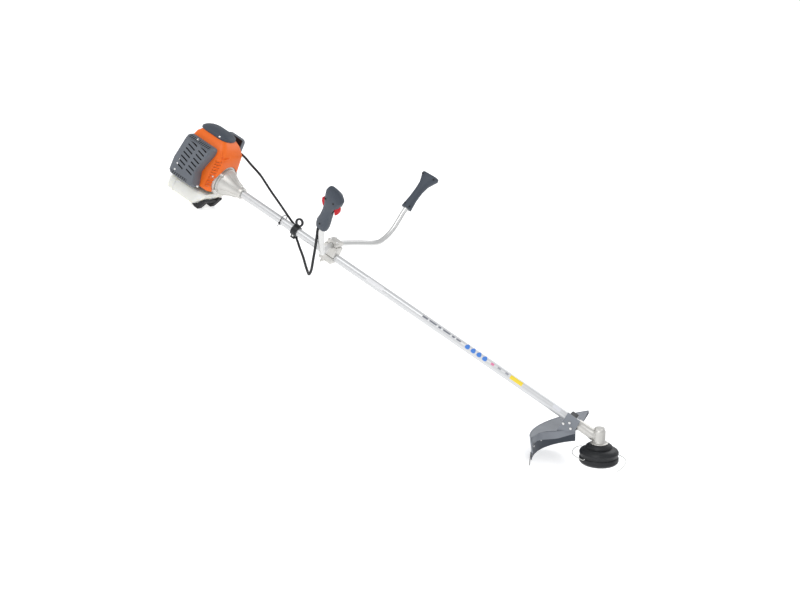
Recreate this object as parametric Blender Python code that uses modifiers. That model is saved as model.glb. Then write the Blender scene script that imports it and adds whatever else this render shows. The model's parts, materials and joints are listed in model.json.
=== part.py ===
"""Petrol string trimmer with bicycle handlebars, lying on its stand feet and its guard.

Metres, +Z up.  Everything is laid out in the shaft's own frame: +X runs along the tube
from the engine to the cutting head, +Y is the operator's left and +Z is square to the
tube.  X is 0 where the clutch housing ends and the bare tube begins.  An empty named
"machine" carries that frame and tips it until feet and guard both touch the floor.
The head has a second frame on the crossing point of shaft and head axis, with its own
+Z up the head's spindle, and each handgrip has one along its grip.
"""
import math

import bmesh
import bpy
from mathutils import Matrix, Vector

# ---------------------------------------------------------------- driving dimensions
GAP = 0.0004                # air between two pieces that touch
RUN = 0.001                 # air round a piece that turns or slides

TUBE_RADIUS = 0.014         # shaft tube, 28 mm outside
TUBE_WALL = 0.0015
TUBE_EXPOSED = 1.412        # bare tube between clutch housing and gearbox
TUBE_SEATED = 0.030         # length of tube held inside either housing
DRIVE_RADIUS = 0.004
BUSHING_COUNT = 2
BUSHING_LENGTH = 0.036

CONE_LENGTH = 0.088         # clutch housing
CONE_FLANGE_RADIUS = 0.052
DRUM_RADIUS = 0.039
DRUM_LENGTH = 0.028
FAN_RADIUS = 0.058          # fan housing
FAN_LENGTH = 0.070
FLYWHEEL_RADIUS = 0.050
CRANKCASE_LENGTH = 0.070
CRANKCASE_HALF_WIDTH = 0.042
CRANKCASE_HALF_HEIGHT = 0.044
JOURNAL_RADIUS = 0.006
CRANK_THROW = 0.015
PISTON_RADIUS = 0.0205
CYLINDER_HEIGHT = 0.072
FIN_RADIUS = 0.034
STARTER_RADIUS = 0.054
STARTER_LENGTH = 0.036
STARTER_PULL = 0.60         # rope that the handle draws out

COVER_HALF_WIDTH = 0.064    # orange cylinder cover
COVER_WALL = 0.0025
COVER_BOTTOM = -0.042
COVER_TOP = 0.139
DOME_HEIGHT = 0.023
GUARD_BOX_DEPTH = 0.036     # muffler guard, outwards from the cover
SLOT_WIDTH = 0.0055

TANK_LENGTH = 0.168
TANK_HALF_WIDTH = 0.066
TANK_TOP = -0.052
TANK_BOTTOM = -0.118
FOOT_SPACING = 0.076        # between the middles of the two stand feet
FOOT_WIDTH = 0.024
FOOT_BOTTOM = -0.126

HANGER_X = 0.247
CABLE_TIE_X = 0.184
CLAMP_X = 0.400             # handlebar clamp
CLAMP_LENGTH = 0.054
BAR_RADIUS = 0.0095
BAR_HEIGHT = 0.038          # bar's middle above the shaft axis
GRIP_FORWARD = 0.0675       # foot of either grip, from the middle of the bar
GRIP_SPREAD = 0.298
GRIP_RISE = 0.151
GRIP_HEIGHT = 0.168
TRIGGER_WIDTH = 0.011

HEAD_ANGLE = math.radians(29.1)
HEAD_OFFSET = 0.050         # from the tube's end to the crossing with the head axis
GEARBOX_RADIUS = 0.019
GEARBOX_TOP = 0.036
GEARBOX_BOTTOM = -0.0100
SPINDLE_RADIUS = 0.005
HEAD_RADIUS = 0.062
HEAD_TOP = -0.0150
HEAD_SEAM = -0.0565
HEAD_BOTTOM = -0.0785
SHELL_WALL = 0.003
TAP_RADIUS = 0.021
TAP_TRAVEL = 0.006
LINE_RADIUS = 0.0012

GUARD_RADIUS = 0.217
GUARD_START = math.radians(114)
GUARD_END = math.radians(208)
GUARD_FOOT = -0.043         # lower edge of the guard, upper edge of the skirt
SKIRT_BOTTOM = -0.080
GUARD_WALL = 0.003
DECK_EDGE = -0.072          # the deck's edge next to the head, before the head's axis
DECK_TOP = 0.025
DECK_SLOPE = math.radians(9.6)

# ---------------------------------------------------------------- derived stations
HEAD_X = TUBE_EXPOSED + TUBE_SEATED + HEAD_OFFSET
CONE_REAR = -CONE_LENGTH
FAN_REAR = CONE_REAR - GAP - FAN_LENGTH
CASE_REAR = FAN_REAR - GAP - CRANKCASE_LENGTH
STARTER_REAR = CASE_REAR - GAP - STARTER_LENGTH
CYLINDER_X = CASE_REAR + CRANKCASE_LENGTH / 2
GUARD_INNER = COVER_HALF_WIDTH + GAP
TANK_REAR = STARTER_REAR - 0.003

PARTS = "string_trimmer"
CUTTERS = "cutters"


# ---------------------------------------------------------------- scene and materials
def clear_scene():
    """Remove every object, then make one collection for the parts and one for cutters."""
    for thing in list(bpy.data.objects):
        bpy.data.objects.remove(thing, do_unlink=True)
    for label in (PARTS, CUTTERS):
        bpy.context.scene.collection.children.link(bpy.data.collections.new(label))


def finish_of(label, colour, roughness, metallic=0.0):
    """One Principled material."""
    skin = bpy.data.materials.new(label)
    skin.use_nodes = True
    shader = skin.node_tree.nodes["Principled BSDF"]
    shader.inputs["Base Color"].default_value = (*colour, 1.0)
    shader.inputs["Roughness"].default_value = roughness
    shader.inputs["Metallic"].default_value = metallic
    return skin


def make_finishes():
    """The object's finishes, by name."""
    table = {
        "orange": ((0.80, 0.14, 0.02), 0.35, 0.0),
        "slate": ((0.07, 0.08, 0.11), 0.45, 0.0),
        "grey": ((0.17, 0.18, 0.21), 0.45, 0.0),
        "black": ((0.02, 0.02, 0.022), 0.5, 0.0),
        "tank": ((0.80, 0.80, 0.70), 0.4, 0.0),
        "cast": ((0.62, 0.61, 0.58), 0.4, 0.9),
        "tube": ((0.80, 0.80, 0.79), 0.3, 0.8),
        "steel": ((0.50, 0.50, 0.50), 0.3, 1.0),
        "dark_steel": ((0.16, 0.16, 0.16), 0.4, 1.0),
        "bronze": ((0.42, 0.28, 0.12), 0.4, 1.0),
        "red": ((0.55, 0.01, 0.02), 0.35, 0.0),
        "foam": ((0.10, 0.10, 0.09), 0.9, 0.0),
        "rubber": ((0.03, 0.03, 0.03), 0.7, 0.0),
        "clear": ((0.75, 0.72, 0.60), 0.3, 0.0),
        "nylon": ((0.35, 0.36, 0.36), 0.4, 0.0),
    }
    return {label: finish_of(label, *values) for label, values in table.items()}


def empty(label, parent=None, at=(0, 0, 0), turn=(0, 0, 0)):
    """A frame that carries other objects."""
    frame = bpy.data.objects.new(label, None)
    bpy.data.collections[PARTS].objects.link(frame)
    frame.parent = parent
    frame.location = at
    frame.rotation_euler = turn
    return frame


def place(mesh, label, parent, skin, at=(0, 0, 0), turn=(0, 0, 0)):
    """Put a mesh into the model as the named sub-part, or as a cutter if it has no skin."""
    thing = bpy.data.objects.new(label, mesh)
    bpy.data.collections[PARTS if skin else CUTTERS].objects.link(thing)
    thing.parent = parent
    thing.location = at
    thing.rotation_euler = turn
    if skin:
        mesh.materials.append(skin)
    else:
        thing.hide_render = True
        thing.display_type = "WIRE"
    return thing


def smooth(mesh):
    """Round faces shade smooth, edges over 35 degrees stay sharp."""
    mesh.shade_smooth()
    mesh.set_sharp_from_angle(angle=math.radians(35))


# ---------------------------------------------------------------- shape makers
ALONG_X = (0.0, math.pi / 2, 0.0)       # turns a shape's +Z onto +X
ALONG_Y = (-math.pi / 2, 0.0, 0.0)      # turns a shape's +Z onto +Y


def turned(label, profile, parent, skin, at=(0, 0, 0), turn=(0, 0, 0), steps=20):
    """A turned piece.  The profile is (radius, height) from the top down the outer side;
    one that comes back up a bore is closed on itself, the others end on the axis.
    Cutters start at their own angle, so that their corners never meet the piece's."""
    mesh = bpy.data.meshes.new(label)
    start = 0.0 if skin else 0.031 + 0.17 * (len(bpy.data.collections[CUTTERS].objects) % 5)
    count = len(profile)
    ring = profile[0][0] > 0.0
    edges = [(i, (i + 1) % count) for i in range(count if ring else count - 1)]
    mesh.from_pydata([(radius * math.cos(start), radius * math.sin(start), height)
                      for radius, height in profile], edges, [])
    thing = place(mesh, label, parent, skin, at, turn)
    screw = thing.modifiers.new("turn", "SCREW")
    screw.steps = steps
    screw.render_steps = steps
    screw.use_merge_vertices = True
    screw.merge_threshold = 0.00005
    return thing


def disc(label, radius, low, high, parent, skin, bore=0.0, **where):
    """A plain round piece between two heights, bored through if it has a bore."""
    if bore > 0.0:
        profile = [(bore, high), (radius, high), (radius, low), (bore, low)]
    else:
        profile = [(0.0, high), (radius, high), (radius, low), (0.0, low)]
    return turned(label, profile, parent, skin, **where)


def block(label, low, high, parent, skin, bevel=0.0, turn=(0, 0, 0), at=None):
    """A box from its low to its high corner; at moves its origin to another point."""
    low, high = Vector(low), Vector(high)
    origin = Vector(at) if at else (low + high) / 2
    bm = bmesh.new()
    bmesh.ops.create_cube(bm, size=1.0)
    for vert in bm.verts:
        for axis in range(3):
            size = high[axis] - low[axis]
            vert.co[axis] = vert.co[axis] * size + (low[axis] + high[axis]) / 2 - origin[axis]
    mesh = bpy.data.meshes.new(label)
    bm.to_mesh(mesh)
    bm.free()
    thing = place(mesh, label, parent, skin, origin, turn)
    if bevel > 0.0:
        edge = thing.modifiers.new("edges", "BEVEL")
        edge.width = bevel
        edge.segments = 2
    return thing


def curve_mesh(curve, label):
    """The evaluated curve as a welded mesh; the curve itself is removed."""
    holder = bpy.data.objects.new(label, curve)
    bpy.context.scene.collection.objects.link(holder)
    graph = bpy.context.evaluated_depsgraph_get()
    mesh = bpy.data.meshes.new_from_object(holder.evaluated_get(graph))
    mesh.name = label
    bpy.data.objects.remove(holder, do_unlink=True)
    bpy.data.curves.remove(curve)
    bm = bmesh.new()
    bm.from_mesh(mesh)
    bmesh.ops.remove_doubles(bm, verts=bm.verts, dist=0.00002)
    bmesh.ops.recalc_face_normals(bm, faces=bm.faces)
    bm.to_mesh(mesh)
    bm.free()
    return mesh


def plate(label, outline, low, high, parent, skin, at=(0, 0, 0), turn=(0, 0, 0)):
    """A flat outline in X and Y, solid from one height to another along Z."""
    curve = bpy.data.curves.new(label, "CURVE")
    curve.dimensions = "2D"
    curve.fill_mode = "BOTH"
    curve.extrude = (high - low) / 2
    spline = curve.splines.new("POLY")
    spline.points.add(len(outline) - 1)
    for point, (x, y) in zip(spline.points, outline):
        point.co = (x, y, 0.0, 1.0)
    spline.use_cyclic_u = True
    mesh = curve_mesh(curve, label)
    mesh.transform(Matrix.Translation((0, 0, (low + high) / 2)))
    return place(mesh, label, parent, skin, at, turn)


def side_plate(label, outline, low, high, parent, skin, at=(0, 0, 0)):
    """A plate whose outline is (x, z), solid from one y to another."""
    flat = [(x, z) for x, z in outline]
    return plate(label, flat, -high, -low, parent, skin, at, (math.pi / 2, 0, 0))


def smooth_route(points, spacing):
    """Points at even steps along a smooth curve through the route's own points."""
    points = [Vector(point) for point in points]
    padded = [points[0] * 2 - points[1], *points, points[-1] * 2 - points[-2]]
    fine = []
    for i in range(len(points) - 1):
        before, start, end, after = padded[i:i + 4]
        for step in range(24):
            t = step / 24
            fine.append(0.5 * (2 * start + (end - before) * t
                               + (2 * before - 5 * start + 4 * end - after) * t ** 2
                               + (3 * start - before - 3 * end + after) * t ** 3))
    fine.append(points[-1])
    total = sum((b - a).length for a, b in zip(fine, fine[1:]))
    pieces = max(2, round(total / spacing))
    picked, walked, wanted = [fine[0]], 0.0, total / pieces
    for a, b in zip(fine, fine[1:]):
        walked += (b - a).length
        if walked >= wanted * len(picked) and len(picked) < pieces:
            picked.append(b)
    picked.append(fine[-1])
    return picked


def rod(label, points, radius, parent, skin, resolution=2, at=(0, 0, 0)):
    """A round bar or cable with closed ends along a list of points."""
    curve = bpy.data.curves.new(label, "CURVE")
    curve.dimensions = "3D"
    curve.bevel_depth = radius
    curve.bevel_resolution = resolution
    curve.use_fill_caps = True
    spline = curve.splines.new("POLY")
    spline.points.add(len(points) - 1)
    for point, co in zip(spline.points, points):
        point.co = (*co, 1.0)
    return place(curve_mesh(curve, label), label, parent, skin, at)


def rounded(half_x, half_y, corner, arc=3, centre=(0.0, 0.0)):
    """Points round a rectangle with round corners, anticlockwise seen from +Z."""
    corner = min(corner, half_x * 0.98, half_y * 0.98)
    points = []
    for quarter in range(4):
        sign_x = 1 if quarter in (0, 3) else -1
        sign_y = 1 if quarter in (0, 1) else -1
        for step in range(arc + 1):
            angle = (quarter + step / arc) * math.pi / 2
            points.append((centre[0] + sign_x * (half_x - corner) + corner * math.cos(angle),
                           centre[1] + sign_y * (half_y - corner) + corner * math.sin(angle)))
    return points


def loft(label, rings, parent, skin, at=(0, 0, 0), turn=(0, 0, 0), caps=(True, True)):
    """A skin over rings of equal count, each a list of 3-D points, first ring lowest."""
    bm = bmesh.new()
    rows = [[bm.verts.new(point) for point in ring] for ring in rings]
    count = len(rows[0])
    for low, high in zip(rows, rows[1:]):
        for i in range(count):
            j = (i + 1) % count
            bm.faces.new((low[i], low[j], high[j], high[i]))
    if caps[0]:
        bm.faces.new(list(reversed(rows[0])))
    if caps[1]:
        bm.faces.new(rows[-1])
    mesh = bpy.data.meshes.new(label)
    bm.to_mesh(mesh)
    bm.free()
    smooth(mesh)
    return place(mesh, label, parent, skin, at, turn)


def face_outwards(thing):
    """Turn the faces of a closed skin outwards."""
    bm = bmesh.new()
    bm.from_mesh(thing.data)
    if bm.calc_volume(signed=True) < 0.0:
        bmesh.ops.reverse_faces(bm, faces=bm.faces)
    bm.to_mesh(thing.data)
    bm.free()
    return thing


def change(target, cutter, how="DIFFERENCE"):
    """Cut the target with the cutter, or join or keep what they share."""
    step = target.modifiers.new(cutter.name, "BOOLEAN")
    step.operation = how
    step.solver = "EXACT"
    step.object = cutter
    return target


def thicken(thing, wall):
    """Give an open surface its wall, on the inner side."""
    step = thing.modifiers.new("wall", "SOLIDIFY")
    step.thickness = wall
    step.offset = -1.0
    step.use_even_offset = True
    return thing


# ---------------------------------------------------------------- engine
def crank_train(root, skin):
    """Built-up crankshaft halves, flywheel, clutch shoes, rod and piston.

    The crank pin stays with the rod, clear of both webs, so that the crank can turn
    while the piston slides on its own between its two dead centres."""
    web_radius, web_length, half_slot = 0.022, 0.009, 0.006
    chamber = web_radius + 0.005
    hub_front = CONE_REAR - DRUM_LENGTH / 2
    front_low = CYLINDER_X + half_slot
    front_end = hub_front + 0.004
    turned("crank_front", [
        (0.0, front_end), (JOURNAL_RADIUS, front_end), (JOURNAL_RADIUS, front_low + web_length),
        (web_radius, front_low + web_length), (web_radius, front_low), (0.0, front_low),
    ], root, skin["steel"], turn=ALONG_X)
    rear_high = CYLINDER_X - half_slot
    rear_end = CASE_REAR - STARTER_LENGTH * 0.4
    turned("crank_rear", [
        (0.0, rear_high), (web_radius, rear_high), (web_radius, rear_high - web_length),
        (JOURNAL_RADIUS, rear_high - web_length), (JOURNAL_RADIUS, CASE_REAR - 0.004),
        (0.016, CASE_REAR - 0.004), (0.016, rear_end), (0.0, rear_end),
    ], root, skin["steel"], turn=ALONG_X)

    middle = (FAN_REAR + CONE_REAR) / 2
    disc("flywheel", FLYWHEEL_RADIUS, middle - 0.020, middle + 0.004, root, skin["cast"],
         bore=JOURNAL_RADIUS + GAP, turn=ALONG_X)

    shoe_inner, shoe_outer = JOURNAL_RADIUS + RUN, DRUM_RADIUS - 0.0045
    for label, middle_angle in (("clutch_shoe_left", 0), ("clutch_shoe_right", 180)):
        sweep = [math.radians(middle_angle - 78 + 156 * i / 10) for i in range(11)]
        outline = [(shoe_outer * math.cos(a), shoe_outer * math.sin(a)) for a in sweep]
        outline += [(shoe_inner * math.cos(a), shoe_inner * math.sin(a)) for a in reversed(sweep)]
        plate(label, outline, hub_front - 0.006, hub_front + 0.003, root, skin["dark_steel"],
              turn=(math.pi / 2, 0, math.pi / 2))

    big_end, small_end, rod_length = 0.0105, 0.0075, 0.052
    wrist = CRANK_THROW + rod_length
    rod_body = block("connecting_rod", (CYLINDER_X - 0.0035, -0.0043, CRANK_THROW + 0.0037),
                     (CYLINDER_X + 0.0035, 0.0043, wrist - 0.0031), root, skin["steel"])
    for label, radius, pin, half, height in (
            ("big_end", big_end, 0.0055, half_slot - GAP, CRANK_THROW),
            ("small_end", small_end, 0.0040, PISTON_RADIUS - 0.0055, wrist)):
        change(rod_body, turned(label, [
            (0.0, half), (pin, half), (pin, 0.0041), (radius, 0.0041), (radius, -0.0041),
            (pin, -0.0041), (pin, -half), (0.0, -half),
        ], root, None, at=(CYLINDER_X, 0, height), turn=ALONG_X, steps=16), "UNION")
    crown, skirt, wall = wrist + 0.014, wrist - 0.014, 0.0035
    turned("piston", [
        (0.0, crown), (PISTON_RADIUS, crown), (PISTON_RADIUS, skirt),
        (PISTON_RADIUS - wall, skirt), (PISTON_RADIUS - wall, wrist + small_end + 0.001),
        (0.0, wrist + small_end + 0.001),
    ], root, skin["cast"], at=(CYLINDER_X, 0, 0))

    case = block("crankcase", (CASE_REAR, -CRANKCASE_HALF_WIDTH, -CRANKCASE_HALF_HEIGHT),
                 (CASE_REAR + CRANKCASE_LENGTH, CRANKCASE_HALF_WIDTH, CRANKCASE_HALF_HEIGHT),
                 root, skin["cast"], bevel=0.006)
    half_chamber = half_slot + web_length + RUN
    change(case, disc("crank_chamber", chamber, -half_chamber, half_chamber, root, None,
                      at=(CYLINDER_X, 0, 0), turn=ALONG_X))
    change(case, disc("journal_bore", JOURNAL_RADIUS + GAP, CASE_REAR - 0.01, FAN_REAR + 0.01,
                      root, None, turn=ALONG_X))
    change(case, disc("case_mouth", PISTON_RADIUS + GAP, 0.0, CRANKCASE_HALF_HEIGHT + 0.01,
                      root, None, at=(CYLINDER_X, 0, 0)))

    foot = CRANKCASE_HALF_HEIGHT + GAP
    top = foot + CYLINDER_HEIGHT
    barrel, fin_count = 0.027, 5
    pitch = (CYLINDER_HEIGHT - 0.006) / fin_count
    bore, plug_bore = PISTON_RADIUS + GAP, 0.0073
    profile = [(plug_bore, top), (barrel, top)]
    for fin in range(fin_count):
        upper = top - 0.002 - fin * pitch
        profile += [(barrel, upper), (FIN_RADIUS, upper), (FIN_RADIUS, upper - pitch * 0.35),
                    (barrel, upper - pitch * 0.35)]
    profile += [(barrel, foot), (bore, foot), (bore, crown + 0.002), (plug_bore, crown + 0.006)]
    turned("cylinder", profile, root, skin["cast"], at=(CYLINDER_X, 0, 0))
    turned("spark_plug", [
        (0.0, top + 0.038), (0.003, top + 0.038), (0.003, top + 0.033), (0.005, top + 0.030),
        (0.005, top + 0.012), (0.009, top + 0.010), (0.009, top + GAP), (plug_bore - GAP, top + GAP),
        (plug_bore - GAP, top - 0.016), (0.0, top - 0.016),
    ], root, skin["clear"], at=(CYLINDER_X, 0, 0), steps=16)


def finned_wheel(label, count, radius, root_share, heights, parent, skin, top_share=1.0):
    """A wheel or gear along +X whose rim steps between two radii; it may taper."""
    rings = []
    for height, share in zip(heights, (1.0, top_share)):
        ring = []
        for i in range(count * 4):
            angle = 2 * math.pi * i / (count * 4)
            reach = radius * share * (1.0 if i % 4 < 2 else root_share)
            ring.append((reach * math.cos(angle), reach * math.sin(angle), height))
        rings.append(ring)
    return loft(label, rings, parent, skin, turn=ALONG_X)


def starter(root, skin):
    """Recoil starter: cup-shaped housing, rope pulley and pull handle."""
    low, high, wall = STARTER_REAR, CASE_REAR - GAP, 0.0025
    inner = STARTER_RADIUS - wall
    turned("starter_housing", [
        (0.0, low + wall), (inner, low + wall), (inner, high), (STARTER_RADIUS, high),
        (STARTER_RADIUS, low + 0.006), (STARTER_RADIUS - 0.006, low), (0.0, low),
    ], root, skin["slate"], turn=ALONG_X)
    pulley_low = low + wall + 0.004
    groove = 0.022
    turned("starter_pulley", [
        (0.0, pulley_low + 0.012), (0.030, pulley_low + 0.012), (0.030, pulley_low + 0.010),
        (groove, pulley_low + 0.009), (groove, pulley_low + 0.003), (0.030, pulley_low + 0.002),
        (0.030, pulley_low), (0.0, pulley_low),
    ], root, skin["black"], turn=ALONG_X)
    middle = low + 0.005
    block("starter_handle", (middle - 0.0075, STARTER_RADIUS + 0.0015, -0.021),
          (middle + 0.0075, STARTER_RADIUS + 0.0155, 0.021), root, skin["black"], bevel=0.003)


def fan_and_clutch(root, skin):
    """Fan housing, clutch drum with its shaft socket, and the conical clutch housing."""
    wall, front = 0.003, CONE_REAR - GAP
    mouth = DRUM_RADIUS + 0.004
    turned("fan_housing", [
        (mouth, front), (FAN_RADIUS, front), (FAN_RADIUS, FAN_REAR),
        (FAN_RADIUS - wall, FAN_REAR), (FAN_RADIUS - wall, front - wall), (mouth, front - wall),
    ], root, skin["cast"], turn=ALONG_X, steps=24)
    drum_rear = CONE_REAR - DRUM_LENGTH * 0.75
    drum_front, drum_wall = drum_rear + DRUM_LENGTH, 0.002
    hub_radius, hub_front = 0.008, -0.058
    socket = DRIVE_RADIUS + GAP
    turned("clutch_drum", [
        (socket, hub_front), (hub_radius, hub_front), (hub_radius, drum_front),
        (DRUM_RADIUS, drum_front), (DRUM_RADIUS, drum_rear), (DRUM_RADIUS - drum_wall, drum_rear),
        (DRUM_RADIUS - drum_wall, drum_front - 0.003), (socket, drum_front - 0.003),
    ], root, skin["dark_steel"], turn=ALONG_X)
    nose, seat = 0.0215, TUBE_RADIUS + GAP
    bowl = DRUM_RADIUS + 0.003
    turned("clutch_housing", [
        (seat, 0.0), (nose - 0.001, 0.0), (nose, -0.002), (nose, -0.013), (nose + 0.002, -0.016),
        (0.030, -0.040), (0.0465, -0.072), (0.0475, -0.0805), (CONE_FLANGE_RADIUS, -0.0805),
        (CONE_FLANGE_RADIUS, CONE_REAR), (bowl, CONE_REAR), (bowl, -0.075), (0.026, -0.040),
        (0.0115, -0.034), (0.0115, -TUBE_SEATED - GAP), (seat, -TUBE_SEATED - GAP),
    ], root, skin["cast"], turn=ALONG_X, steps=24)


def cover_ring(height, rear, front, half_width, corner):
    """One level of the cylinder cover."""
    flat = rounded((front - rear) / 2, half_width, corner, 3, ((front + rear) / 2, 0.0))
    return [(x, y, height) for x, y in flat]


def covers(root, skin):
    """Orange cylinder cover, slate top cover, and the slotted muffler guard."""
    rear = STARTER_REAR + 0.015
    front = CONE_REAR + 0.002
    half = COVER_HALF_WIDTH
    top = COVER_TOP
    cover = loft("cylinder_cover", [
        cover_ring(COVER_BOTTOM, rear + 0.004, front - 0.010, half - 0.002, 0.016),
        cover_ring(0.040, rear, front, half, 0.018),
        cover_ring(top - 0.039, rear, front - 0.005, half, 0.020),
        cover_ring(top - 0.014, rear + 0.005, front - 0.020, half - 0.012, 0.020),
        cover_ring(top, rear + 0.016, front - 0.036, half - 0.025, 0.018),
    ], root, skin["orange"], caps=(False, True))
    thicken(cover, COVER_WALL)
    change(cover, disc("fan_arch", FAN_RADIUS + RUN, FAN_REAR - 0.004, 0.0, root, None,
                       turn=ALONG_X, steps=32))
    change(cover, disc("starter_arch", STARTER_RADIUS + RUN, STARTER_REAR - 0.01,
                       CASE_REAR + 0.01, root, None, turn=ALONG_X, steps=32))
    change(cover, disc("plug_hole", 0.013, top - 0.01, top + 0.01, root, None,
                       at=(CYLINDER_X, 0, 0)))
    change(cover, block("muffler_hole", (rear + 0.012, -half - 0.01, -0.030),
                        (rear + 0.098, -half + 0.02, 0.090), root, None))
    change(cover, block("carburettor_hole", (CYLINDER_X - 0.024, half - 0.02, 0.050),
                        (CYLINDER_X + 0.024, half + 0.01, 0.096), root, None))
    louvre_count = 10
    for i in range(louvre_count):
        share = i / (louvre_count - 1)
        middle = (front - 0.021 + 0.004 * share, -half, -0.024 + 0.098 * share)
        change(cover, block("louvre_%d" % i, (middle[0] - 0.011, -half - 0.01, middle[2] - 0.0013),
                            (middle[0] + 0.011, -half + 0.01, middle[2] + 0.0013), root, None,
                            turn=(0, math.radians(-18), 0), at=middle))

    middle = (rear + 0.006 + front - 0.036) / 2
    reach, spread = (front - rear) / 2 - 0.018, half - 0.023
    levels = 6
    rings = [[(x, y, top + GAP) for x, y in rounded(reach, spread, spread * 0.8, 4, (middle, 0.0))]]
    for i in range(levels + 1):
        rise = math.pi / 2 * 0.92 * i / levels
        share = math.cos(rise) ** 0.8
        rings.append([(x, y, top + 0.004 + (DOME_HEIGHT - 0.004) * math.sin(rise)) for x, y in
                      rounded(reach * share, spread * share, spread * 0.8 * share, 4,
                              (middle + 0.004 * math.sin(rise), 0.0))])
    thicken(loft("top_cover", rings, root, skin["slate"], caps=(False, True)), COVER_WALL)

    edge = muffler_outline(rear, front)
    depth = -GUARD_INNER - GUARD_BOX_DEPTH
    shell = loft("muffler_guard", [
        [(x, -GUARD_INNER, z) for x, z in edge],
        [(x, -GUARD_INNER - GUARD_BOX_DEPTH * 0.6, z) for x, z in edge],
        [(x, depth, z) for x, z in inset(edge, 0.90)],
    ], root, skin["grey"], caps=(False, True))
    thicken(shell, COVER_WALL)
    slots_in_column, slot_low, slot_high = 7, -0.004, 0.098
    for column, (left, right) in enumerate(((0.017, 0.051), (0.064, 0.094))):
        for i in range(slots_in_column):
            share = i / (slots_in_column - 1)
            height = slot_low + (slot_high - slot_low) * share
            lean = 0.022 * share
            middle = (rear + (left + right) / 2 + lean - 0.004, depth, height)
            half_slot = (right - left) / 2
            change(shell, block("guard_slot_%d_%d" % (column, i),
                                (middle[0] - half_slot, depth - 0.01, height - SLOT_WIDTH / 2),
                                (middle[0] + half_slot, depth + 0.01, height + SLOT_WIDTH / 2),
                                root, None, turn=(0, math.radians(14), 0), at=middle))


def muffler_outline(rear, front):
    """The muffler guard seen from the right, anticlockwise, in x and z."""
    low, high = COVER_BOTTOM - 0.010, COVER_TOP - 0.025
    return [(rear - 0.011, low + 0.009), (rear - 0.002, low), (rear + 0.104, low),
            (rear + 0.113, low + 0.010), (rear + 0.101, 0.012), (front - 0.036, high - 0.022),
            (front - 0.036, high - 0.006), (front - 0.042, high), (rear + 0.014, high),
            (rear + 0.008, high - 0.006), (rear - 0.011, 0.012)]


def inset(outline, share):
    """An outline drawn in towards the middle of its box."""
    xs, zs = [x for x, _ in outline], [z for _, z in outline]
    mid_x, mid_z = (min(xs) + max(xs)) / 2, (min(zs) + max(zs)) / 2
    return [(mid_x + (x - mid_x) * share, mid_z + (z - mid_z) * share) for x, z in outline]


def muffler_and_intake(root, skin):
    """Muffler on the right; carburettor, primer, choke and air filter on the left."""
    rear = STARTER_REAR + 0.015
    low = Vector((CASE_REAR + 2 * RUN, -GUARD_INNER - GUARD_BOX_DEPTH + 0.008, -0.026))
    high = Vector((FAN_REAR - 2 * RUN, -CRANKCASE_HALF_WIDTH - RUN, 0.086))
    sheet = Vector((0.0015, 0.0015, 0.0015))
    muffler = block("muffler", low, high, root, skin["dark_steel"], bevel=0.008)
    change(muffler, block("muffler_inside", low + sheet, high - sheet, root, None, bevel=0.0065))
    change(muffler, disc("exhaust_port", 0.006, low.y - 0.01, low.y + 0.01, root, None,
                         at=((low.x + high.x) / 2, 0, 0.072), turn=ALONG_Y))

    half = COVER_HALF_WIDTH
    carb_low, carb_high = 0.055, 0.090
    carb_outer = half + 0.014
    carb = block("carburettor", (CYLINDER_X - 0.017, half - 0.012, carb_low),
                 (CYLINDER_X + 0.017, carb_outer, carb_high), root, skin["cast"], bevel=0.002)
    change(carb, disc("intake_spacer", 0.012, FIN_RADIUS + GAP, half - 0.010, root, None,
                      at=(CYLINDER_X, 0, 0.072), turn=ALONG_Y), "UNION")
    change(carb, disc("primer_well", 0.0068, carb_low - 0.001, carb_low + 0.0045, root, None,
                      at=(CYLINDER_X, half + 0.0075, 0)))
    turned("primer_bulb", [
        (0.0, carb_low - GAP), (0.0062, carb_low - GAP), (0.0062, carb_low - 0.003),
        (0.0050, carb_low - 0.008), (0.0025, carb_low - 0.010), (0.0, carb_low - 0.0105),
    ], root, skin["clear"], at=(CYLINDER_X, half + 0.0075, 0), steps=16)
    pivot = (CYLINDER_X - 0.0185, half + 0.007, 0.068)
    lever = block("choke_lever", (pivot[0] - 0.0010, pivot[1] - 0.004, pivot[2] - 0.004),
                  (pivot[0] + 0.0010, pivot[1] + 0.004, pivot[2] + 0.026), root, skin["black"],
                  at=pivot)
    change(lever, block("choke_tab", (pivot[0] - 0.014, pivot[1] - 0.004, pivot[2] + 0.0235),
                        (pivot[0], pivot[1] + 0.004, pivot[2] + 0.026), root, None), "UNION")

    low, high = (CYLINDER_X - 0.014, 0.048), (CYLINDER_X + 0.064, 0.138)
    base_low, base_high = carb_outer + GAP, carb_outer + 0.0034
    block("filter_base", (low[0], base_low, low[1]), (high[0], base_high, high[1]),
          root, skin["black"])
    block("filter_element", (low[0] + 0.010, base_high + GAP, low[1] + 0.010),
          (high[0] - 0.010, base_high + 0.012, high[1] - 0.010), root, skin["foam"])
    flat = rounded((high[0] - low[0]) / 2, (high[1] - low[1]) / 2, 0.014, 3,
                   ((high[0] + low[0]) / 2, -(high[1] + low[1]) / 2))
    levels = ((base_high + GAP, 1.0), (base_high + 0.020, 0.99), (base_high + 0.028, 0.86))
    rings = []
    for depth, share in levels:
        rings.append([(x, depth, -y) for x, y in inset(flat, share)])
    thicken(loft("filter_cover", rings, root, skin["grey"], caps=(False, True)), 0.002)
    knob_low = base_high + 0.028 + GAP
    turned("filter_knob", [
        (0.0, knob_low + 0.008), (0.010, knob_low + 0.008), (0.012, knob_low + 0.006),
        (0.012, knob_low), (0.0, knob_low),
    ], root, skin["black"], at=((high[0] + low[0]) / 2, 0, 0.093), turn=ALONG_Y, steps=16)


def tank_ring(x, low, high, half_width, corner):
    """One section across the fuel tank."""
    flat = rounded(half_width, (high - low) / 2, corner, 3, (0.0, (high + low) / 2))
    return [(x, y, z) for y, z in flat]


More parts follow.
